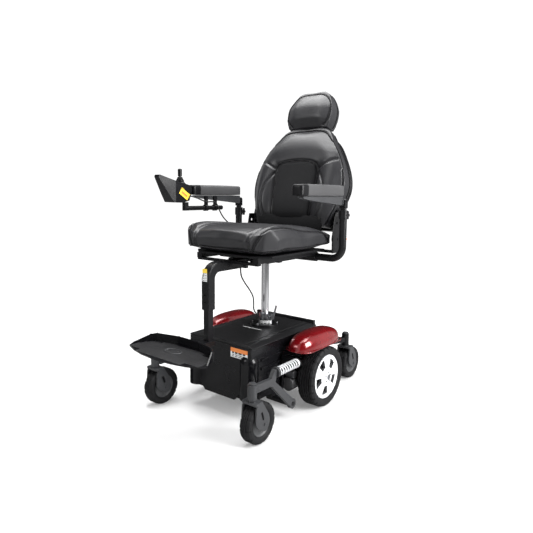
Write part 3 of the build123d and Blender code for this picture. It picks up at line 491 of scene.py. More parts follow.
def stuffed(name, source, shrink, voxel, cap, easing, pressure=4):
    """A cushion in the space of the CAD node source."""
    obj = added(name, nodes[source].data.copy())
    outward(obj)
    modify(obj, "REMESH", mode="VOXEL", voxel_size=voxel)
    pick(obj, lambda face: True)
    bpy.ops.transform.shrink_fatten(value=-shrink)
    close(obj)
    modify(obj, "SMOOTH", factor=0.5, iterations=easing)
    inflate(obj, cap, pressure)
    fill_box(obj, source)
    modify(obj, "SUBSURF", levels=1, render_levels=1)
    alone(obj)
    bpy.ops.object.shade_smooth()
    print(name, "has", len(obj.data.polygons), "faces")
    return obj


def flat_bottom(obj, level):
    """Lifts every point that lies below the level up to it."""
    points = read_points(obj)
    points[:, 2] = np.maximum(points[:, 2], level)
    write_points(obj, points)


# %% Seams
def trail(obj, guides, count=70):
    """A smooth line through the guides, each of its points laid on the surface of obj."""
    knots = np.array([guides[0], *guides, guides[-1]], float)
    line = []
    for k in range(count):
        place = k / (count - 1) * (len(guides) - 1)
        i = min(int(place), len(guides) - 2)
        t = place - i
        a, b, c, d = knots[i:i + 4]
        line.append(0.5 * (2 * b + (c - a) * t + (2 * a - 5 * b + 4 * c - d) * t ** 2
                + (3 * b - a - 3 * c + d) * t ** 3))
    tree = BVHTree.FromObject(obj, bpy.context.evaluated_depsgraph_get())
    return [tree.find_nearest(Vector(point))[0] for point in line]


def distance_to(points, line):
    """Shortest distance from each point to the line."""
    nearest = np.full(len(points), 1.0)
    for start, end in zip(line, line[1:]):
        a = np.array(start)
        run = np.array(end) - a
        along = np.clip((points - a) @ run / max(run @ run, 1e-12), 0, 1)
        gap = np.linalg.norm(points - a - along[:, None] * run, axis=1)
        nearest = np.minimum(nearest, gap)
    return nearest


def sew(obj, lines, width=0.006, depth=0.005):
    """Draws the cover in along the lines, deepest at the seam."""
    points = read_points(obj)
    pull = np.zeros(len(points))
    for line in lines:
        pull = np.maximum(pull, np.exp(-(distance_to(points, line) / width) ** 2))
    write_points(obj, points - read_points(obj, "normal") * (depth * pull)[:, None])


def drawn(name, lines, kind, **values):
    """A new piece: the mesh of a curve that has one spline for each line."""
    data = bpy.data.curves.new(name, "CURVE")
    data.dimensions = "3D"
    for key, value in values.items():
        setattr(data, key, value)
    for line in lines:
        spline = data.splines.new(kind)
        spline.points.add(len(line) - 1)
        for point, place in zip(spline.points, line):
            point.co = (*place, 1)
        if kind == "NURBS":
            spline.order_u = 3
            spline.use_endpoint_u = True
    holder = bpy.data.objects.new(name, data)
    made = added(name, bpy.data.meshes.new_from_object(holder))
    bpy.data.objects.remove(holder)
    return made


def lines_mesh(name, lines, radius):
    """Round cords along the lines, as one piece."""
    made = drawn(name, lines, "POLY", bevel_depth=radius, bevel_resolution=2, use_fill_caps=True)
    alone(made)
    bpy.ops.object.shade_smooth()
    return made


def mirrored(line):
    return [(-x, y, z) for x, y, z in line]


# %% [markdown]
# ## Backrest cushion
# The back leans 15 degrees, so its shapes are easiest to give in its own frame: x across, t through
# the thickness (negative in front) and s up the back. It has a woven insert, side bolsters that hug
# the sitter, and a piped edge. The hollows and swellings are added after the stuffing, by moving
# the front surface with smooth bumps, and then the seams are drawn in.

# %% Backrest frame
HINGE = Vector((0, 0.154, 0.69))
LEAN = math.radians(15)


def from_back(x, t, s):
    """A point of the backrest's frame in the chair's frame."""
    return (x, HINGE.y + t * math.cos(LEAN) + s * math.sin(LEAN),
            HINGE.z - t * math.sin(LEAN) + s * math.cos(LEAN))


def to_back(points):
    y = points[:, 1] - HINGE.y
    z = points[:, 2] - HINGE.z
    return (points[:, 0], y * math.cos(LEAN) - z * math.sin(LEAN),
            y * math.sin(LEAN) + z * math.cos(LEAN))


def hump(value, centre, width):
    return np.exp(-((value - centre) / width) ** 2)


def ramp(value, start, end):
    """A smooth step from 0 at start to 1 at end."""
    t = np.clip((value - start) / (end - start), 0, 1)
    return t * t * (3 - 2 * t)


# %% Backrest cushion
back = stuffed("backrest_cushion", "back_cushion", 0.008, 0.006, 0.024, 14)
points = read_points(back)
x, t, s = to_back(points)
front = ramp(-t, 0.0, 0.035)
forward = 0.016 * hump(np.abs(x), 0.178, 0.042) * hump(s, 0.17, 0.13)
forward += 0.007 * hump(x, 0, 0.12) * hump(s, 0.13, 0.09)
forward -= 0.01 * hump(np.abs(x), 0.118, 0.022) * ramp(s, 0.36, 0.3)
forward -= 0.024 * ramp(s, 0.38, 0.52)
forward -= 0.01 * ramp(np.abs(x), 0.19, 0.26)
lean = np.array(from_back(0, -1, 0)) - np.array(from_back(0, 0, 0))
write_points(back, points + (front * forward)[:, None] * lean)

INSERT = [(0.11, 0.055), (0.107, 0.11), (0.11, 0.17), (0.115, 0.24), (0.116, 0.29),
        (0.106, 0.322), (0.08, 0.336), (0.04, 0.342), (0, 0.344)]
WING = [(0.114, 0.296), (0.136, 0.274), (0.16, 0.238), (0.17, 0.192), (0.166, 0.142),
        (0.15, 0.095), (0.128, 0.055)]
SHOULDER = [(0.113, 0.305), (0.146, 0.322), (0.18, 0.34), (0.208, 0.35)]


def back_lines(shapes):
    """Lines laid on the cushion's front, each with its twin on the other side."""
    found = []
    for shape in shapes:
        for side in (1, -1):
            found.append(trail(back, [from_back(side * a, -0.06, b) for a, b in shape]))
    return found


insert_lines = back_lines([INSERT])
seam_lines = back_lines([WING, SHOULDER])
sew(back, insert_lines, 0.007, 0.008)
sew(back, seam_lines, 0.006, 0.006)
wear(back, LOOK["leatherette"], "backrest")
back.data.materials.append(LOOK["insert"])
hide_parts("back_cushion")


def inside_insert(a, b):
    """True where (x, s) lies within the insert's outline."""
    limit = np.interp(b, [p[1] for p in INSERT[:6]], [p[0] for p in INSERT[:6]])
    top = np.interp(a, [p[0] for p in INSERT[:4:-1]], [p[1] for p in INSERT[:4:-1]])
    return a < limit and b < top


for face in back.data.polygons:
    place = np.array([face.center])
    fx, ft, fs = (float(v[0]) for v in to_back(place))
    if ft < -0.02 and inside_insert(abs(fx), fs):
        face.material_index = 1

# %% Backrest piping
RIM = [(0.176, 0.062), (0.204, 0.115), (0.228, 0.172), (0.24, 0.222), (0.234, 0.28),
       (0.194, 0.376), (0.152, 0.44), (0.114, 0.484), (0.07, 0.498), (0, 0.502)]
rim_lines = [trail(back, [from_back(side * a, -0.036, b) for a, b in RIM], 110) for side in (1, -1)]
rear_rim = [trail(back, [from_back(side * a * 1.02, 0.012, b) for a, b in RIM], 110)
        for side in (1, -1)]
sew(back, rim_lines + rear_rim, 0.005, 0.003)
piping = lines_mesh("backrest_piping", rim_lines + rear_rim + insert_lines, 0.0022)
wear(piping, LOOK["stitch"], "backrest")

# %% [markdown]
# ## Headrest
# A short fat pillow on two rods. Its front cover is one panel, and a gusset runs round the side
# between two piped edges. It is stuffed like the back.

# %% Headrest
head = stuffed("headrest_cushion", "headrest_pad", 0.007, 0.005, 0.018, 12)
points = read_points(head)
x, t, s = to_back(points)
front = ramp(-t, -0.01, 0.03)
forward = -0.02 * ramp(s, 0.6, 0.7) - 0.01 * ramp(s, 0.56, 0.51)
forward -= 0.006 * ramp(np.abs(x), 0.06, 0.13)
write_points(head, points + (front * forward)[:, None] * lean)
CROWN = [(0.085, 0.522), (0.107, 0.548), (0.115, 0.59), (0.108, 0.632), (0.084, 0.664),
        (0.045, 0.68), (0, 0.684)]
head_lines = []
for depth in (-0.034, 0.022):
    for side in (1, -1):
        head_lines.append(trail(head, [from_back(side * a, depth, b) for a, b in CROWN], 80))
sew(head, head_lines, 0.005, 0.003)
wear(head, LOOK["leatherette"], "headrest")
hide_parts("headrest_pad")
piping = lines_mesh("headrest_piping", head_lines, 0.002)
wear(piping, LOOK["stitch"], "headrest")

# %% [markdown]
# ## Seat cushion
# The seat is dished: a middle panel, a thigh bolster along each side that ends in a rounded wing at
# the front, and a front edge that falls away so that it doesn't press behind the knees. Two seams
# run from front to back along the bolsters and one goes round each wing.

# %% Seat cushion
seat_low, seat_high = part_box("seat_cushion")
seat = stuffed("seat_cushion_cover", "seat_cushion", 0.008, 0.006, 0.026, 14)
flat_bottom(seat, seat_low.z + 0.0005)
INNER = [(0.134, -0.345, 0.655), (0.138, -0.352, 0.7), (0.141, -0.34, 0.745),
        (0.143, -0.29, 0.775), (0.145, -0.22, 0.775), (0.145, -0.12, 0.76), (0.145, 0.0, 0.74),
        (0.145, 0.09, 0.72)]
WING_TOP = [(0.15, -0.342, 0.655), (0.178, -0.325, 0.715), (0.205, -0.29, 0.752),
        (0.218, -0.22, 0.772), (0.222, -0.13, 0.772), (0.222, -0.03, 0.755),
        (0.22, 0.05, 0.725), (0.215, 0.105, 0.69)]
SKIRT = [(0.0, -0.345, 0.668), (0.08, -0.347, 0.668), (0.138, -0.345, 0.668), (0.19, -0.32, 0.667),
        (0.226, -0.26, 0.666), (0.232, -0.15, 0.665), (0.232, 0.0, 0.665), (0.23, 0.1, 0.665)]
seat_lines = {}
for label, shape in (("inner", INNER), ("wing", WING_TOP), ("skirt", SKIRT)):
    seat_lines[label] = [trail(seat, shape, 90), trail(seat, mirrored(shape), 90)]
sew(seat, seat_lines["inner"], 0.008, 0.009)
sew(seat, seat_lines["wing"], 0.006, 0.005)
sew(seat, seat_lines["skirt"], 0.005, 0.003)
wear(seat, LOOK["leatherette"], "seat")
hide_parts("seat_cushion")
piping = lines_mesh("seat_piping", seat_lines["wing"] + seat_lines["skirt"], 0.002)
wear(piping, LOOK["stitch"], "seat")

# %% [markdown]
# ## Arm pads
# Each pad is a long foam block with a skin, rounded at the front.

# %% Arm pads
for side in SIDES:
    pad = stuffed("arm_pad_" + side, "armrest_pad_" + side, 0.003, 0.004, 0.006, 8)
    flat_bottom(pad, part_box("armrest_pad_" + side)[0].z + 0.0003)
    wear(pad, LOOK["soft_pad"], "armrest_" + side)
    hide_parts("armrest_pad_" + side)

# %% [markdown]
# ## Tyres
# A tyre is a ring whose cross-section never changes, so it starts as an open tube. Its edges are
# extruded in steps to make shoulder, wall and bead, and the two beads are bridged inside. The tread
# is cut last: bands round the tube are pushed in for the rain grooves, and every few blocks across.

# %% Treaded tyre
def middle_of(obj, edge):
    a, b = (obj.data.vertices[i].co for i in edge.vertices)
    return (a + b) / 2


def is_round(obj, edge):
    """True if the edge runs round the wheel."""
    a, b = (obj.data.vertices[i].co for i in edge.vertices)
    return abs(a.x - b.x) < 1e-6


def treaded(name, node_name, rim, shoulder, grooves, groove_width, deep, blocks, segments):
    """A tyre in the place of the CAD tyre, with grooves at the given offsets from its middle."""
    low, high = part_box(node_name)
    radius = (high.z - low.z) / 2
    width = high.x - low.x
    bpy.ops.mesh.primitive_cylinder_add(vertices=segments, radius=radius, depth=width - 2 * shoulder,
            end_fill_type="NOTHING", rotation=(0, math.pi / 2, 0))
    obj = fresh(name)
    for offset in grooves:
        for edge in (offset - groove_width / 2, offset + groove_width / 2):
            pick(obj, lambda face: True)
            bpy.ops.mesh.bisect(plane_co=(edge, 0, 0), plane_no=(1, 0, 0))
            close(obj)
    x_now = width / 2 - shoulder
    r_now = radius
    wall = radius - rim
    profile = [(width / 2 - shoulder * 0.35, radius - shoulder * 0.3),
            (width / 2 - 0.001, radius - shoulder * 0.9), (width / 2, radius - wall * 0.45),
            (width / 2 - 0.002, rim + wall * 0.22), (width / 2 - 0.006, rim + 0.001),
            (width / 2 - 0.01, rim)]
    for x_next, r_next in profile:
        pick(obj, lambda edge: abs(abs(middle_of(obj, edge).x) - x_now) < 1e-5
             and middle_of(obj, edge).yz.length > r_now * 0.99 and is_round(obj, edge), "EDGE")
        bpy.ops.mesh.extrude_region()
        k = r_next / r_now
        bpy.ops.transform.resize(value=(x_next / x_now, k, k), center_override=(0, 0, 0))
        close(obj)
        x_now, r_now = x_next, r_next
    pick(obj, lambda edge: abs(abs(middle_of(obj, edge).x) - x_now) < 1e-5
         and middle_of(obj, edge).yz.length < rim * 1.004 and is_round(obj, edge), "EDGE")
    bpy.ops.mesh.bridge_edge_loops()
    close(obj)
    outward(obj)
    outer = radius * 0.99

    def in_groove(face):
        return any(abs(face.center.x - g) < groove_width * 0.3 for g in grooves)

    pick(obj, lambda face: face.center.yz.length > outer and in_groove(face))
    sink(deep)
    close(obj)

    def across(face):
        turn = math.atan2(face.center.z, face.center.y) / (2 * math.pi) * segments
        lug = int(turn + segments) % blocks == 0
        rib = face.center.yz.length > outer and abs(face.center.x) > abs(grooves[-1])
        edge = outer > face.center.yz.length > radius - shoulder * 0.8
        return lug and (rib or edge) and abs(face.normal.yz.length) > 0.3

    pick(obj, across)
    sink(deep * 0.7)
    close(obj)
    smooth(obj, 28)
    obj.location = (low + high) / 2
    settle(obj)
    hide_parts(node_name)
    return obj


for side in SIDES:
    tyre = treaded("drive_tyre_tread_" + side, "drive_tyre_" + side, 0.092, 0.012,
            (0.0, -0.0105, 0.0105, -0.021, 0.021), 0.003, 0.004, 4, 96)
    wear(tyre, LOOK["rubber"], "drive_wheel_" + side)
    for end in ("front", "rear"):
        name = end + "_caster_tyre_" + side
        tyre = treaded(end + "_caster_tread_" + side, name, 0.047, 0.01,
                (0.0, -0.008, 0.008), 0.0022, 0.0025, 5, 60)
        wear(tyre, LOOK["rubber"], end + "_caster_" + side)
print("six treaded tyres")

# %% [markdown]
# ## Drive rims
# The white rim is a dish with five windows and a hub. It starts as a closed drum. Insets on its
# outer face draw the lip, the window ring and the hub, and five groups of faces are pushed in to
# become the windows. A bevel softens every edge, as paint does.

# %% White rims
RIM_R = 0.0915
WINDOW_TURN = 50
WINDOW_STEP = 72
NUT_CIRCLE = 0.0205
drive_low, drive_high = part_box("drive_tyre_left")
rim_depth = drive_high.x - drive_low.x - 0.014


def drum(name, vertices, radius, depth, place=(0, 0, 0)):
    bpy.ops.mesh.primitive_cylinder_add(vertices=vertices, radius=radius, depth=depth,
            rotation=(0, math.pi / 2, 0), location=place)
    return fresh(name)


def outer_face(face):
    """True for the one face in the middle of the outer side."""
    return face.normal.x > 0.95 and face.center.yz.length < 0.002 and face.center.x > 0


def white_rim(name):
    """The rim of the left drive wheel, at the origin."""
    rim = drum(name, 60, RIM_R, rim_depth)
    for step in ((0.006, 0.003), (0.004, -0.006), (0.003, 0.0), (0.039, 0.004),
            (0.004, 0.0), (0.003, 0.005), (0.018, 0.001), (0.002, 0.003)):
        inset(rim, outer_face, step)

    def window(face):
        turn = math.degrees(math.atan2(face.center.z, face.center.y)) - WINDOW_TURN
        away = abs((turn + WINDOW_STEP / 2) % WINDOW_STEP - WINDOW_STEP / 2)
        ring = 0.05 < face.center.yz.length < 0.066
        return ring and away < 18 and face.normal.x > 0.8

    pick(rim, window)
    bpy.ops.mesh.inset(thickness=0.0015, depth=-0.002)
    sink(0.012)
    close(rim)
    for look in ("rim_white", "casing", "zinc", "rim_grey"):
        rim.data.materials.append(LOOK[look])
    floor_x = rim_depth / 2 - 0.009
    for face in rim.data.polygons:
        spot = face.center.yz.length
        if face.normal.x > 0.8 and abs(face.center.x) < floor_x:
            face.material_index = 1
        elif face.normal.x > 0.8 and spot < 0.009:
            face.material_index = 2
        elif abs(face.normal.x) < 0.5 and 0.036 < spot < 0.078 and 0 < face.center.x < floor_x + 0.004:
            face.material_index = 3
    modify(rim, "BEVEL", width=0.0009, segments=2, limit_method="ANGLE")
    smooth(rim, 40)
    return rim


def lug_nut(name, angle):
    """A hexagon nut on the hub, with a chamfered face and a dimple."""
    place = (rim_depth / 2 + 0.006, NUT_CIRCLE * math.cos(angle), NUT_CIRCLE * math.sin(angle))
    nut = drum(name, 6, 0.0042, 0.005, place)
    inset(nut, lambda face: face.normal.x > 0.9, (0.0016, 0.0008), (0.0004, -0.0015))
    modify(nut, "BEVEL", width=0.0003, segments=1)
    return nut


def join(parts, name):
    bpy.ops.object.select_all(action="DESELECT")
    for part in parts:
        part.select_set(True)
    bpy.context.view_layer.objects.active = parts[0]
    bpy.ops.object.join()
    parts[0].name = name
    return parts[0]


def turned_over(obj, name):
    """A copy of obj for the other side of the chair."""
    twin = added(name, obj.data.copy())
    twin.scale = (-1, 1, 1)
    settle(twin)
    outward(twin)
    smooth(twin, 40)
    return twin


rim = white_rim("drive_rim_face_left")
nut_turns = [math.radians(WINDOW_TURN + WINDOW_STEP * (k + 0.5)) for k in range(5)]
nuts = join([lug_nut("nut", turn) for turn in nut_turns], "lug_nuts_left")
for part in (rim, nuts):
    part.location = middle("drive_tyre_left")
    settle(part)
twins = (turned_over(rim, "drive_rim_face_right"), turned_over(nuts, "lug_nuts_right"))
for side, (face, ring) in (("left", (rim, nuts)), ("right", twins)):
    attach(face, "drive_wheel_" + side)
    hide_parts("drive_rim_" + side)
    wear(ring, LOOK["zinc"], "drive_wheel_" + side)
print("two rims,", len(nut_turns), "nuts on each")

# %% [markdown]
# ## Springs
# A coil spring is a circle of wire that travels round a line while it climbs along it, which is
# what the Screw modifier does. A closed ring at each end sits in its cup. The spring joins the
# front arm to the base.

# %% Coil springs
WIRE = 0.0052
COILS = 8


def coil_spring(name, start, end, radius):
    """A spring along +Y from start to end, with a closed ring at each end."""
    length = (end - start).length
    bpy.ops.mesh.primitive_circle_add(vertices=10, radius=WIRE / 2, location=(radius, 0, 0))
    coil = fresh(name)
    modify(coil, "SCREW", axis="Y", angle=2 * math.pi, iterations=COILS, steps=28, render_steps=28,
           screw_offset=(length - 2 * WIRE) / COILS, use_normal_calculate=True)
    pick(coil, lambda edge: True, "EDGE")
    bpy.ops.mesh.select_all(action="DESELECT")
    bpy.ops.mesh.select_non_manifold()
    bpy.ops.mesh.edge_face_add()
    close(coil)
    points = read_points(coil)
    points[:, 1] += WIRE - min(0, points[:, 1].min()) - WIRE / 2
    write_points(coil, points)
    rings = []
    for place in (WIRE / 2, length - WIRE / 2):
        bpy.ops.mesh.primitive_torus_add(major_radius=radius, minor_radius=WIRE / 2,
                major_segments=40, minor_segments=10,
                rotation=(math.pi / 2, 0, 0), location=(0, place, 0))
        rings.append(fresh("ring"))
    coil = join([coil, *rings], name)
    outward(coil)
    coil.location = start
    settle(coil)
    smooth(coil, 50)
    return coil


spring_low, spring_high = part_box("suspension_spring_left")
for side, sign in SIDES.items():
    x = sign * (spring_low.x + spring_high.x) / 2
    z = (spring_low.z + spring_high.z) / 2
    start, end = Vector((x, spring_low.y, z)), Vector((x, spring_high.y, z))
    spring = coil_spring("coil_spring_" + side, start, end, 0.0155)
    coated(spring, LOOK["rim_white"])
    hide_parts("suspension_spring_" + side)
    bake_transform(spring)
print("two springs of", COILS, "coils")

# %% [markdown]
# ## Cables
# Both leads are clipped at both ends. Each is a tube along a smooth spline through given
# points. The joystick's lead crosses two joints, so it is made in two lengths that meet half
# way.

# %% Cable routes
LIFT_ROUTE = [(0.034, -0.256, 0.588), (0.033, -0.255, 0.562), (0.027, -0.228, 0.53),
        (0.019, -0.184, 0.492), (0.01, -0.144, 0.452), (0.004, -0.134, 0.418),
        (0.000, -0.13, 0.39), (-0.006, -0.104, 0.368), (-0.007, -0.092, 0.354),
        (-0.007, -0.092, 0.338)]
STICK_ROUTE = [(-0.252, -0.254, 0.872), (-0.249, -0.224, 0.866), (-0.247, -0.192, 0.854),
        (-0.247, -0.16, 0.846), (-0.247, -0.128, 0.849), (-0.247, -0.1, 0.842),
        (-0.247, -0.084, 0.814), (-0.247, -0.062, 0.782), (-0.247, -0.034, 0.758),
        (-0.247, 0.000, 0.738), (-0.247, 0.034, 0.716), (-0.243, 0.058, 0.684),
        (-0.243, 0.058, 0.642)]


def spline_points(route):
    """Points of the smooth spline that the route's points pull along."""
    guide = drawn("route", [route], "NURBS", resolution_u=10)
    found = [v.co.copy() for v in guide.data.vertices]
    bpy.data.objects.remove(guide)
    print("cable length", round(sum((b - a).length for a, b in zip(found, found[1:])), 3), "m")
    return found


def lead(name, line, a, b, *replaced):
    """A round lead along the line. The bodies a and b are not used."""
    tube = lines_mesh(name, [line], 0.003)
    coated(tube, LOOK["cable"])
    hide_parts(*replaced)
    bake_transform(tube)


lead("lift_lead", spline_points(LIFT_ROUTE), "seat", "base", "lift_cable")
stick_line = spline_points(STICK_ROUTE)
half = len(stick_line) // 2
lead("joystick_lead_upper", stick_line[:half + 1], "armrest_right", "arm_post_right",
     "joystick_cable")
lead("joystick_lead_lower", stick_line[half:], "arm_post_right", "seat", "joystick_cable")

# %% [markdown]
# ## Labels
# A sticker is a thin grid of cells, each in one of the label's colours, so bars and bands stand for
# print. Each point is sent to its place: by two directions on a flat face, round a circle on the
# lift's collar.

# %% Labels
def sticker(name, cells, looks, paint, place, body):
    """place(u, v) gives the point of the label at u across and v up, both from 0 to 1."""
    bpy.ops.mesh.primitive_grid_add(x_subdivisions=cells[0], y_subdivisions=cells[1], size=1)
    obj = bpy.context.object
    obj.name = name
    for look in looks:
        obj.data.materials.append(LOOK[look])
    for face in obj.data.polygons:
        face.material_index = paint(face.center.x + 0.5, face.center.y + 0.5)
    for vertex in obj.data.vertices:
        vertex.co = place(vertex.co.x + 0.5, vertex.co.y + 0.5)
    modify(obj, "SOLIDIFY", thickness=0.0005, offset=0)
    outward(obj)
    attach(obj, body)
    return obj


def flat(corner, across, up):
    """Places a label on a flat face, from its corner along two directions."""
    return lambda u, v: Vector(corner) + Vector(across) * u + Vector(up) * v


def bars(u, v, count=9):
    """Rows of print: pale ground with darker dashes."""
    return 1 if int(v * count) % 2 and 0.08 < u < 0.9 and int(u * 23) % 5 else 0


STICKER_GAP = 0.0002
COLLAR_R = 0.0373
casing_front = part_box("front_casing")[0].y + 0.0147
sleeve_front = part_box("footrest_sleeve")[0].y - STICKER_GAP
column_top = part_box("lift_column")[1].z
rest_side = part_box("armrest_right")[1].x - 0.0003
housing_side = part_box("controller_housing")[1].x + STICKER_GAP
sticker("casing_label", (24, 12), ("label_white", "casing", "label_orange"),
        lambda u, v: 2 if v > 0.62 else bars(u, v, 11),
        flat((0.062, casing_front, 0.253), (0.086, 0, 0), (0, 0, 0.038)), "base")
sticker("sleeve_label", (8, 18), ("label_white", "casing", "label_yellow"),
        lambda u, v: 2 if v > 0.64 else bars(u, v, 15),
        flat((-0.012, sleeve_front, 0.552), (0.024, 0, 0), (0, 0, 0.049)), "seat")
sticker("controller_label", (12, 10), ("label_yellow", "label_orange"),
        lambda u, v: 1 if 0.3 < v < 0.62 and 0.2 < u < 0.8 else 0,
        flat((housing_side, -0.322, 0.884), (0, 0.046, -0.03), (0, 0.017, 0.024)),
        "armrest_right")
sticker("armrest_label", (16, 8), ("label_white", "casing"), bars,
        flat((rest_side, -0.005, 0.857), (0, 0.052, 0), (0, 0, 0.017)),
        "armrest_right")


def collar_place(u, v):
    """A point of the label that goes round the lift's collar."""
    turn = math.radians(-25 + 115 * u)
    spot = middle("lift_ram")
    return Vector((spot.x + COLLAR_R * math.sin(turn), spot.y - COLLAR_R * math.cos(turn),
            column_top - 0.026 + 0.023 * v))


sticker("collar_label", (30, 8), ("label_white", "rim_grey"), bars, collar_place, "base")
sticker("deck_strip", (10, 2), ("label_white",), lambda u, v: 0,
        flat((-0.048, -0.146, 0.3124), (0.1, 0.003, 0), (0, 0.005, 0)), "base")
sticker("charge_lamps", (10, 3), ("label_orange", "label_yellow", "battery", "casing"),
        lambda u, v: 3 if v < 0.3 or v > 0.7 or int(u * 10) % 2 else min(2, int(u * 4)),
        flat((-0.296, -0.402, 0.9577), (0.022, 0, 0), (0, 0.009, -0.003)), "armrest_right")
print("seven labels")

# %% [markdown]
# ## Small hardware
# First what comes in pairs: each fender's dome, which is a ball with squared shoulders, and its
# rolled lip, the round reflectors, and the front caps of the armrest pads.

# %% Pairs of fittings
CORNER = 0.052
SQUARENESS = 2.7  # 2 is a ball, more is squarer


def fitting(name, low, high, soft, look, body):
    """A small block with rounded edges and a sunk top."""
    centre = (Vector(low) + Vector(high)) / 2
    bpy.ops.mesh.primitive_cube_add(size=1, location=centre, scale=Vector(high) - Vector(low))
    obj = fresh(name)
    inset(obj, lambda face: face.normal.z > 0.9, (soft, -soft * 0.6))
    modify(obj, "BEVEL", width=soft, segments=3, limit_method="ANGLE")
    smooth(obj, 40)
    return wear(obj, LOOK[look], body)


post_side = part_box("arm_supports")[1].x - 0.0185
for side, sign in SIDES.items():
    low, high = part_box("fender_" + side)
    centre = (low + high) / 2
    half_x = (high.x - low.x) / 2
    half_y = (high.y - low.y) / 2 - 0.006
    line = []
    for quarter, (kx, ky) in enumerate(((-1, -1), (1, -1), (1, 1), (-1, 1))):
        for step in range(9):
            turn = math.radians(180 + 90 * quarter + step * 11.25)
            line.append((centre.x + kx * (half_x - CORNER) + CORNER * math.cos(turn),
                    centre.y + ky * (half_y - CORNER) + CORNER * math.sin(turn),
                    low.z + 0.0015))
    lip = lines_mesh("fender_lip_" + side, [line + line[:1]], 0.0021)
    wear(lip, LOOK["red_gloss"], "base")

    bpy.ops.mesh.primitive_uv_sphere_add(segments=72, ring_count=36, radius=1)
    dome = bpy.context.object
    dome.name = "fender_dome_" + side
    pick(dome, lambda face: face.center.z < -0.02)
    bpy.ops.mesh.delete(type="FACE")
    close(dome)
    for vertex in dome.data.vertices:
        x, y, z = (abs(value) for value in vertex.co)
        size = (x ** SQUARENESS + y ** SQUARENESS + z ** SQUARENESS) ** (1 / SQUARENESS)
        vertex.co = (centre.x + vertex.co.x / size * half_x, centre.y + vertex.co.y / size * half_y,
                low.z + vertex.co.z / size * (high.z - low.z))
    modify(dome, "SOLIDIFY", thickness=0.003, offset=-1)
    outward(dome)
    smooth(dome, 50)
    wear(dome, LOOK["red_gloss"], "base")
    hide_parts("fender_" + side)

    bpy.ops.mesh.primitive_cylinder_add(vertices=28, radius=0.009, depth=0.005,
            location=(sign * post_side, 0.1215, 0.697),
            rotation=(math.pi / 2, 0, 0))
    lens = fresh("reflector_" + side)
    inset(lens, lambda face: abs(face.normal.y) > 0.9, (0.0018, -0.0006))
    modify(lens, "BEVEL", width=0.0005, segments=2)
    smooth(lens, 40)
    wear(lens, LOOK["reflector"], "seat")

    pad = bpy.data.objects["arm_pad_" + side]
    pad.data.materials.append(LOOK["controls"])
    front = min(v.co.y for v in pad.data.vertices)
    for face in pad.data.polygons:
        if face.center.y < front + 0.044:
            face.material_index = 1
print("fittings on both sides")

# %% [markdown]
# ## Under the seat
# Three plugs hang there with their short wires, and a dark flap closes the gap between the back
# cushion and the seat.

# %% Plugs, wires and flap
for k, (x, y, z) in enumerate(((-0.004, -0.262, 0.596), (0.052, -0.266, 0.592),
        (0.072, -0.244, 0.6))):
    fitting(f"seat_plug_{k}", (x, y, z), (x + 0.019, y + 0.014, z + 0.017), 0.0016, "cable", "seat")
loops = [[(0.005, -0.255, 0.611), (-0.02, -0.25, 0.605), (-0.034, -0.235, 0.618),
         (-0.03, -0.2, 0.64)],
        [(0.062, -0.259, 0.607), (0.068, -0.25, 0.622), (0.066, -0.225, 0.64)],
        [(0.082, -0.237, 0.602), (0.1, -0.235, 0.597), (0.112, -0.225, 0.612),
         (0.108, -0.2, 0.64)]]
wires = lines_mesh("seat_wires", [spline_points(loop) for loop in loops], 0.0016)
wear(wires, LOOK["cable"], "seat")
fitting("back_flap", (-0.175, seat_high.y + 0.004, 0.715), (0.175, seat_high.y + 0.012, 0.79), 0.003,
        "insert", "backrest")
print("plugs:", k + 1, " wires:", len(loops))

# %% [markdown]
# ## Foot board
# It carries an oval boss in front and a grip mat. The mat is a grid of cells, cut to the board's
# outline and then inset cell by cell, which leaves a small raised stud in each.

# %% Boss and grip mat
top = 0.3181  # height of the board's tread
OUTLINE = [(0.05, -0.52), (0.14, -0.545), (0.162, -0.562), (0.19, -0.612), (0.182, -0.628),
        (0.132, -0.647), (0.076, -0.659), (0, -0.666)]
OUTLINE += [(-x, y) for x, y in reversed(OUTLINE[:-1])]
bpy.ops.mesh.primitive_torus_add(major_radius=0.036, minor_radius=0.0024, major_segments=48,
        minor_segments=8, location=(0, -0.585, top + 0.0012))
oval = fresh("oval_boss")
pick(oval, lambda face: True)
bpy.ops.transform.resize(value=(1, 0.62, 1), center_override=(0, -0.585, top))
close(oval)
smooth(oval, 60)
wear(oval, LOOK["grey_cast"], "footplate")


def inside(x, y):
    """True if the point lies within the foot board's outline."""
    hit = False
    for (x0, y0), (x1, y1) in zip(OUTLINE, OUTLINE[1:] + OUTLINE[:1]):
        if (y0 > y) != (y1 > y) and x < x0 + (y - y0) * (x1 - x0) / (y1 - y0):
            hit = not hit
    return hit


bpy.ops.mesh.primitive_grid_add(x_subdivisions=110, y_subdivisions=44, size=1,
        location=(0, -0.594, top), scale=(0.38, 0.15, 1))
mat = fresh("grip_mat")
pick(mat, lambda face: not inside(face.center.x, face.center.y))
bpy.ops.mesh.delete(type="FACE")
bpy.ops.mesh.select_all(action="SELECT")
bpy.ops.mesh.inset(thickness=0.0008, depth=0.0009, use_individual=True)
close(mat)
wear(mat, LOOK["deck"], "footplate")
print("grip mat of", len(mat.data.polygons), "faces")

# %% [markdown]
# ## Joystick bellows
# A cone is cut at five levels, and every other ring is widened to make a fold.

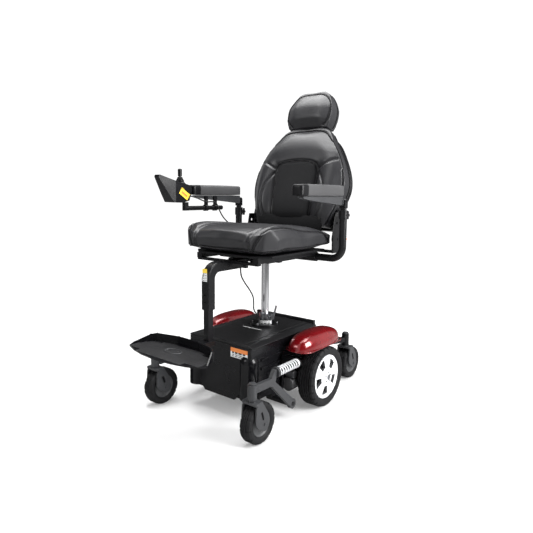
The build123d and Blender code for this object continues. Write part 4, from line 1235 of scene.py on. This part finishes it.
# %% Bellows
HEIGHT = 0.02
base_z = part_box("joystick")[1].z - 0.054
levels = [base_z + HEIGHT * k / 6 for k in range(1, 6)]
centre = middle("joystick")
bpy.ops.mesh.primitive_cone_add(vertices=36, radius1=0.018, radius2=0.0085, depth=HEIGHT,
        location=(centre.x, centre.y, base_z + HEIGHT / 2))
bellows = fresh("joystick_bellows")
for level in levels:
    pick(bellows, lambda face: True)
    bpy.ops.mesh.bisect(plane_co=(0, 0, level), plane_no=(0, 0, 1))
    close(bellows)
for level in levels[::2]:
    pick(bellows, lambda vertex: abs(vertex.co.z - level) < 1e-5, "VERT")
    bpy.ops.transform.resize(value=(1.13, 1.13, 1), center_override=(centre.x, centre.y, level))
    close(bellows)
smooth(bellows, 60)
wear(bellows, LOOK["controls"], "joystick")
print("bellows with", len(levels[::2]), "folds")

# %% [markdown]
# ## Floor
# The floor is a wide pale sheet. It glows more the further away it is, so that it melts into the
# backdrop. Mirrored rays see it dimmed, or the polished parts would look white.

# %% Floor
FLOOR_TONE = (0.86, 0.86, 0.86)
MIRRORED_TONE = (0.3, 0.3, 0.3)
bpy.ops.mesh.primitive_plane_add(size=40, location=(0, 0, 0))
floor = fresh("studio_floor")
pale = finish("pale_floor", FLOOR_TONE, (0.12, 0.2), edge_wear_and_highlight=0, shift=0.02)
tree = pale.node_tree
shader = tree.nodes["Principled BSDF"]
away = node(tree, "VectorMath", [(0, node(tree, "TexCoord").outputs["Object"])], operation="LENGTH")
glow = node(tree, "MapRange", [(0, away.outputs["Value"]), (1, 0.9), (2, 3.6), (3, 0.2), (4, 1.0)])
shader.inputs["Emission Strength"].default_value = 0.95
mirrored_ray = node(tree, "LightPath").outputs["Is Glossy Ray"]
dimmer = node(tree, "MapRange", [(0, mirrored_ray), (3, 1.0), (4, 0.08)])
shown = node(tree, "Math", [(0, glow.outputs[0]), (1, dimmer.outputs[0])], operation="MULTIPLY")
tree.links.new(shown.outputs[0], shader.inputs["Emission Color"])
seen_floor = node(tree, "Mix", [(0, mirrored_ray), (6, (*FLOOR_TONE, 1)), (7, (*MIRRORED_TONE, 1))],
        data_type="RGBA")
tree.links.new(seen_floor.outputs[2], shader.inputs["Base Color"])
floor.data.materials.append(pale)
print("floor laid")
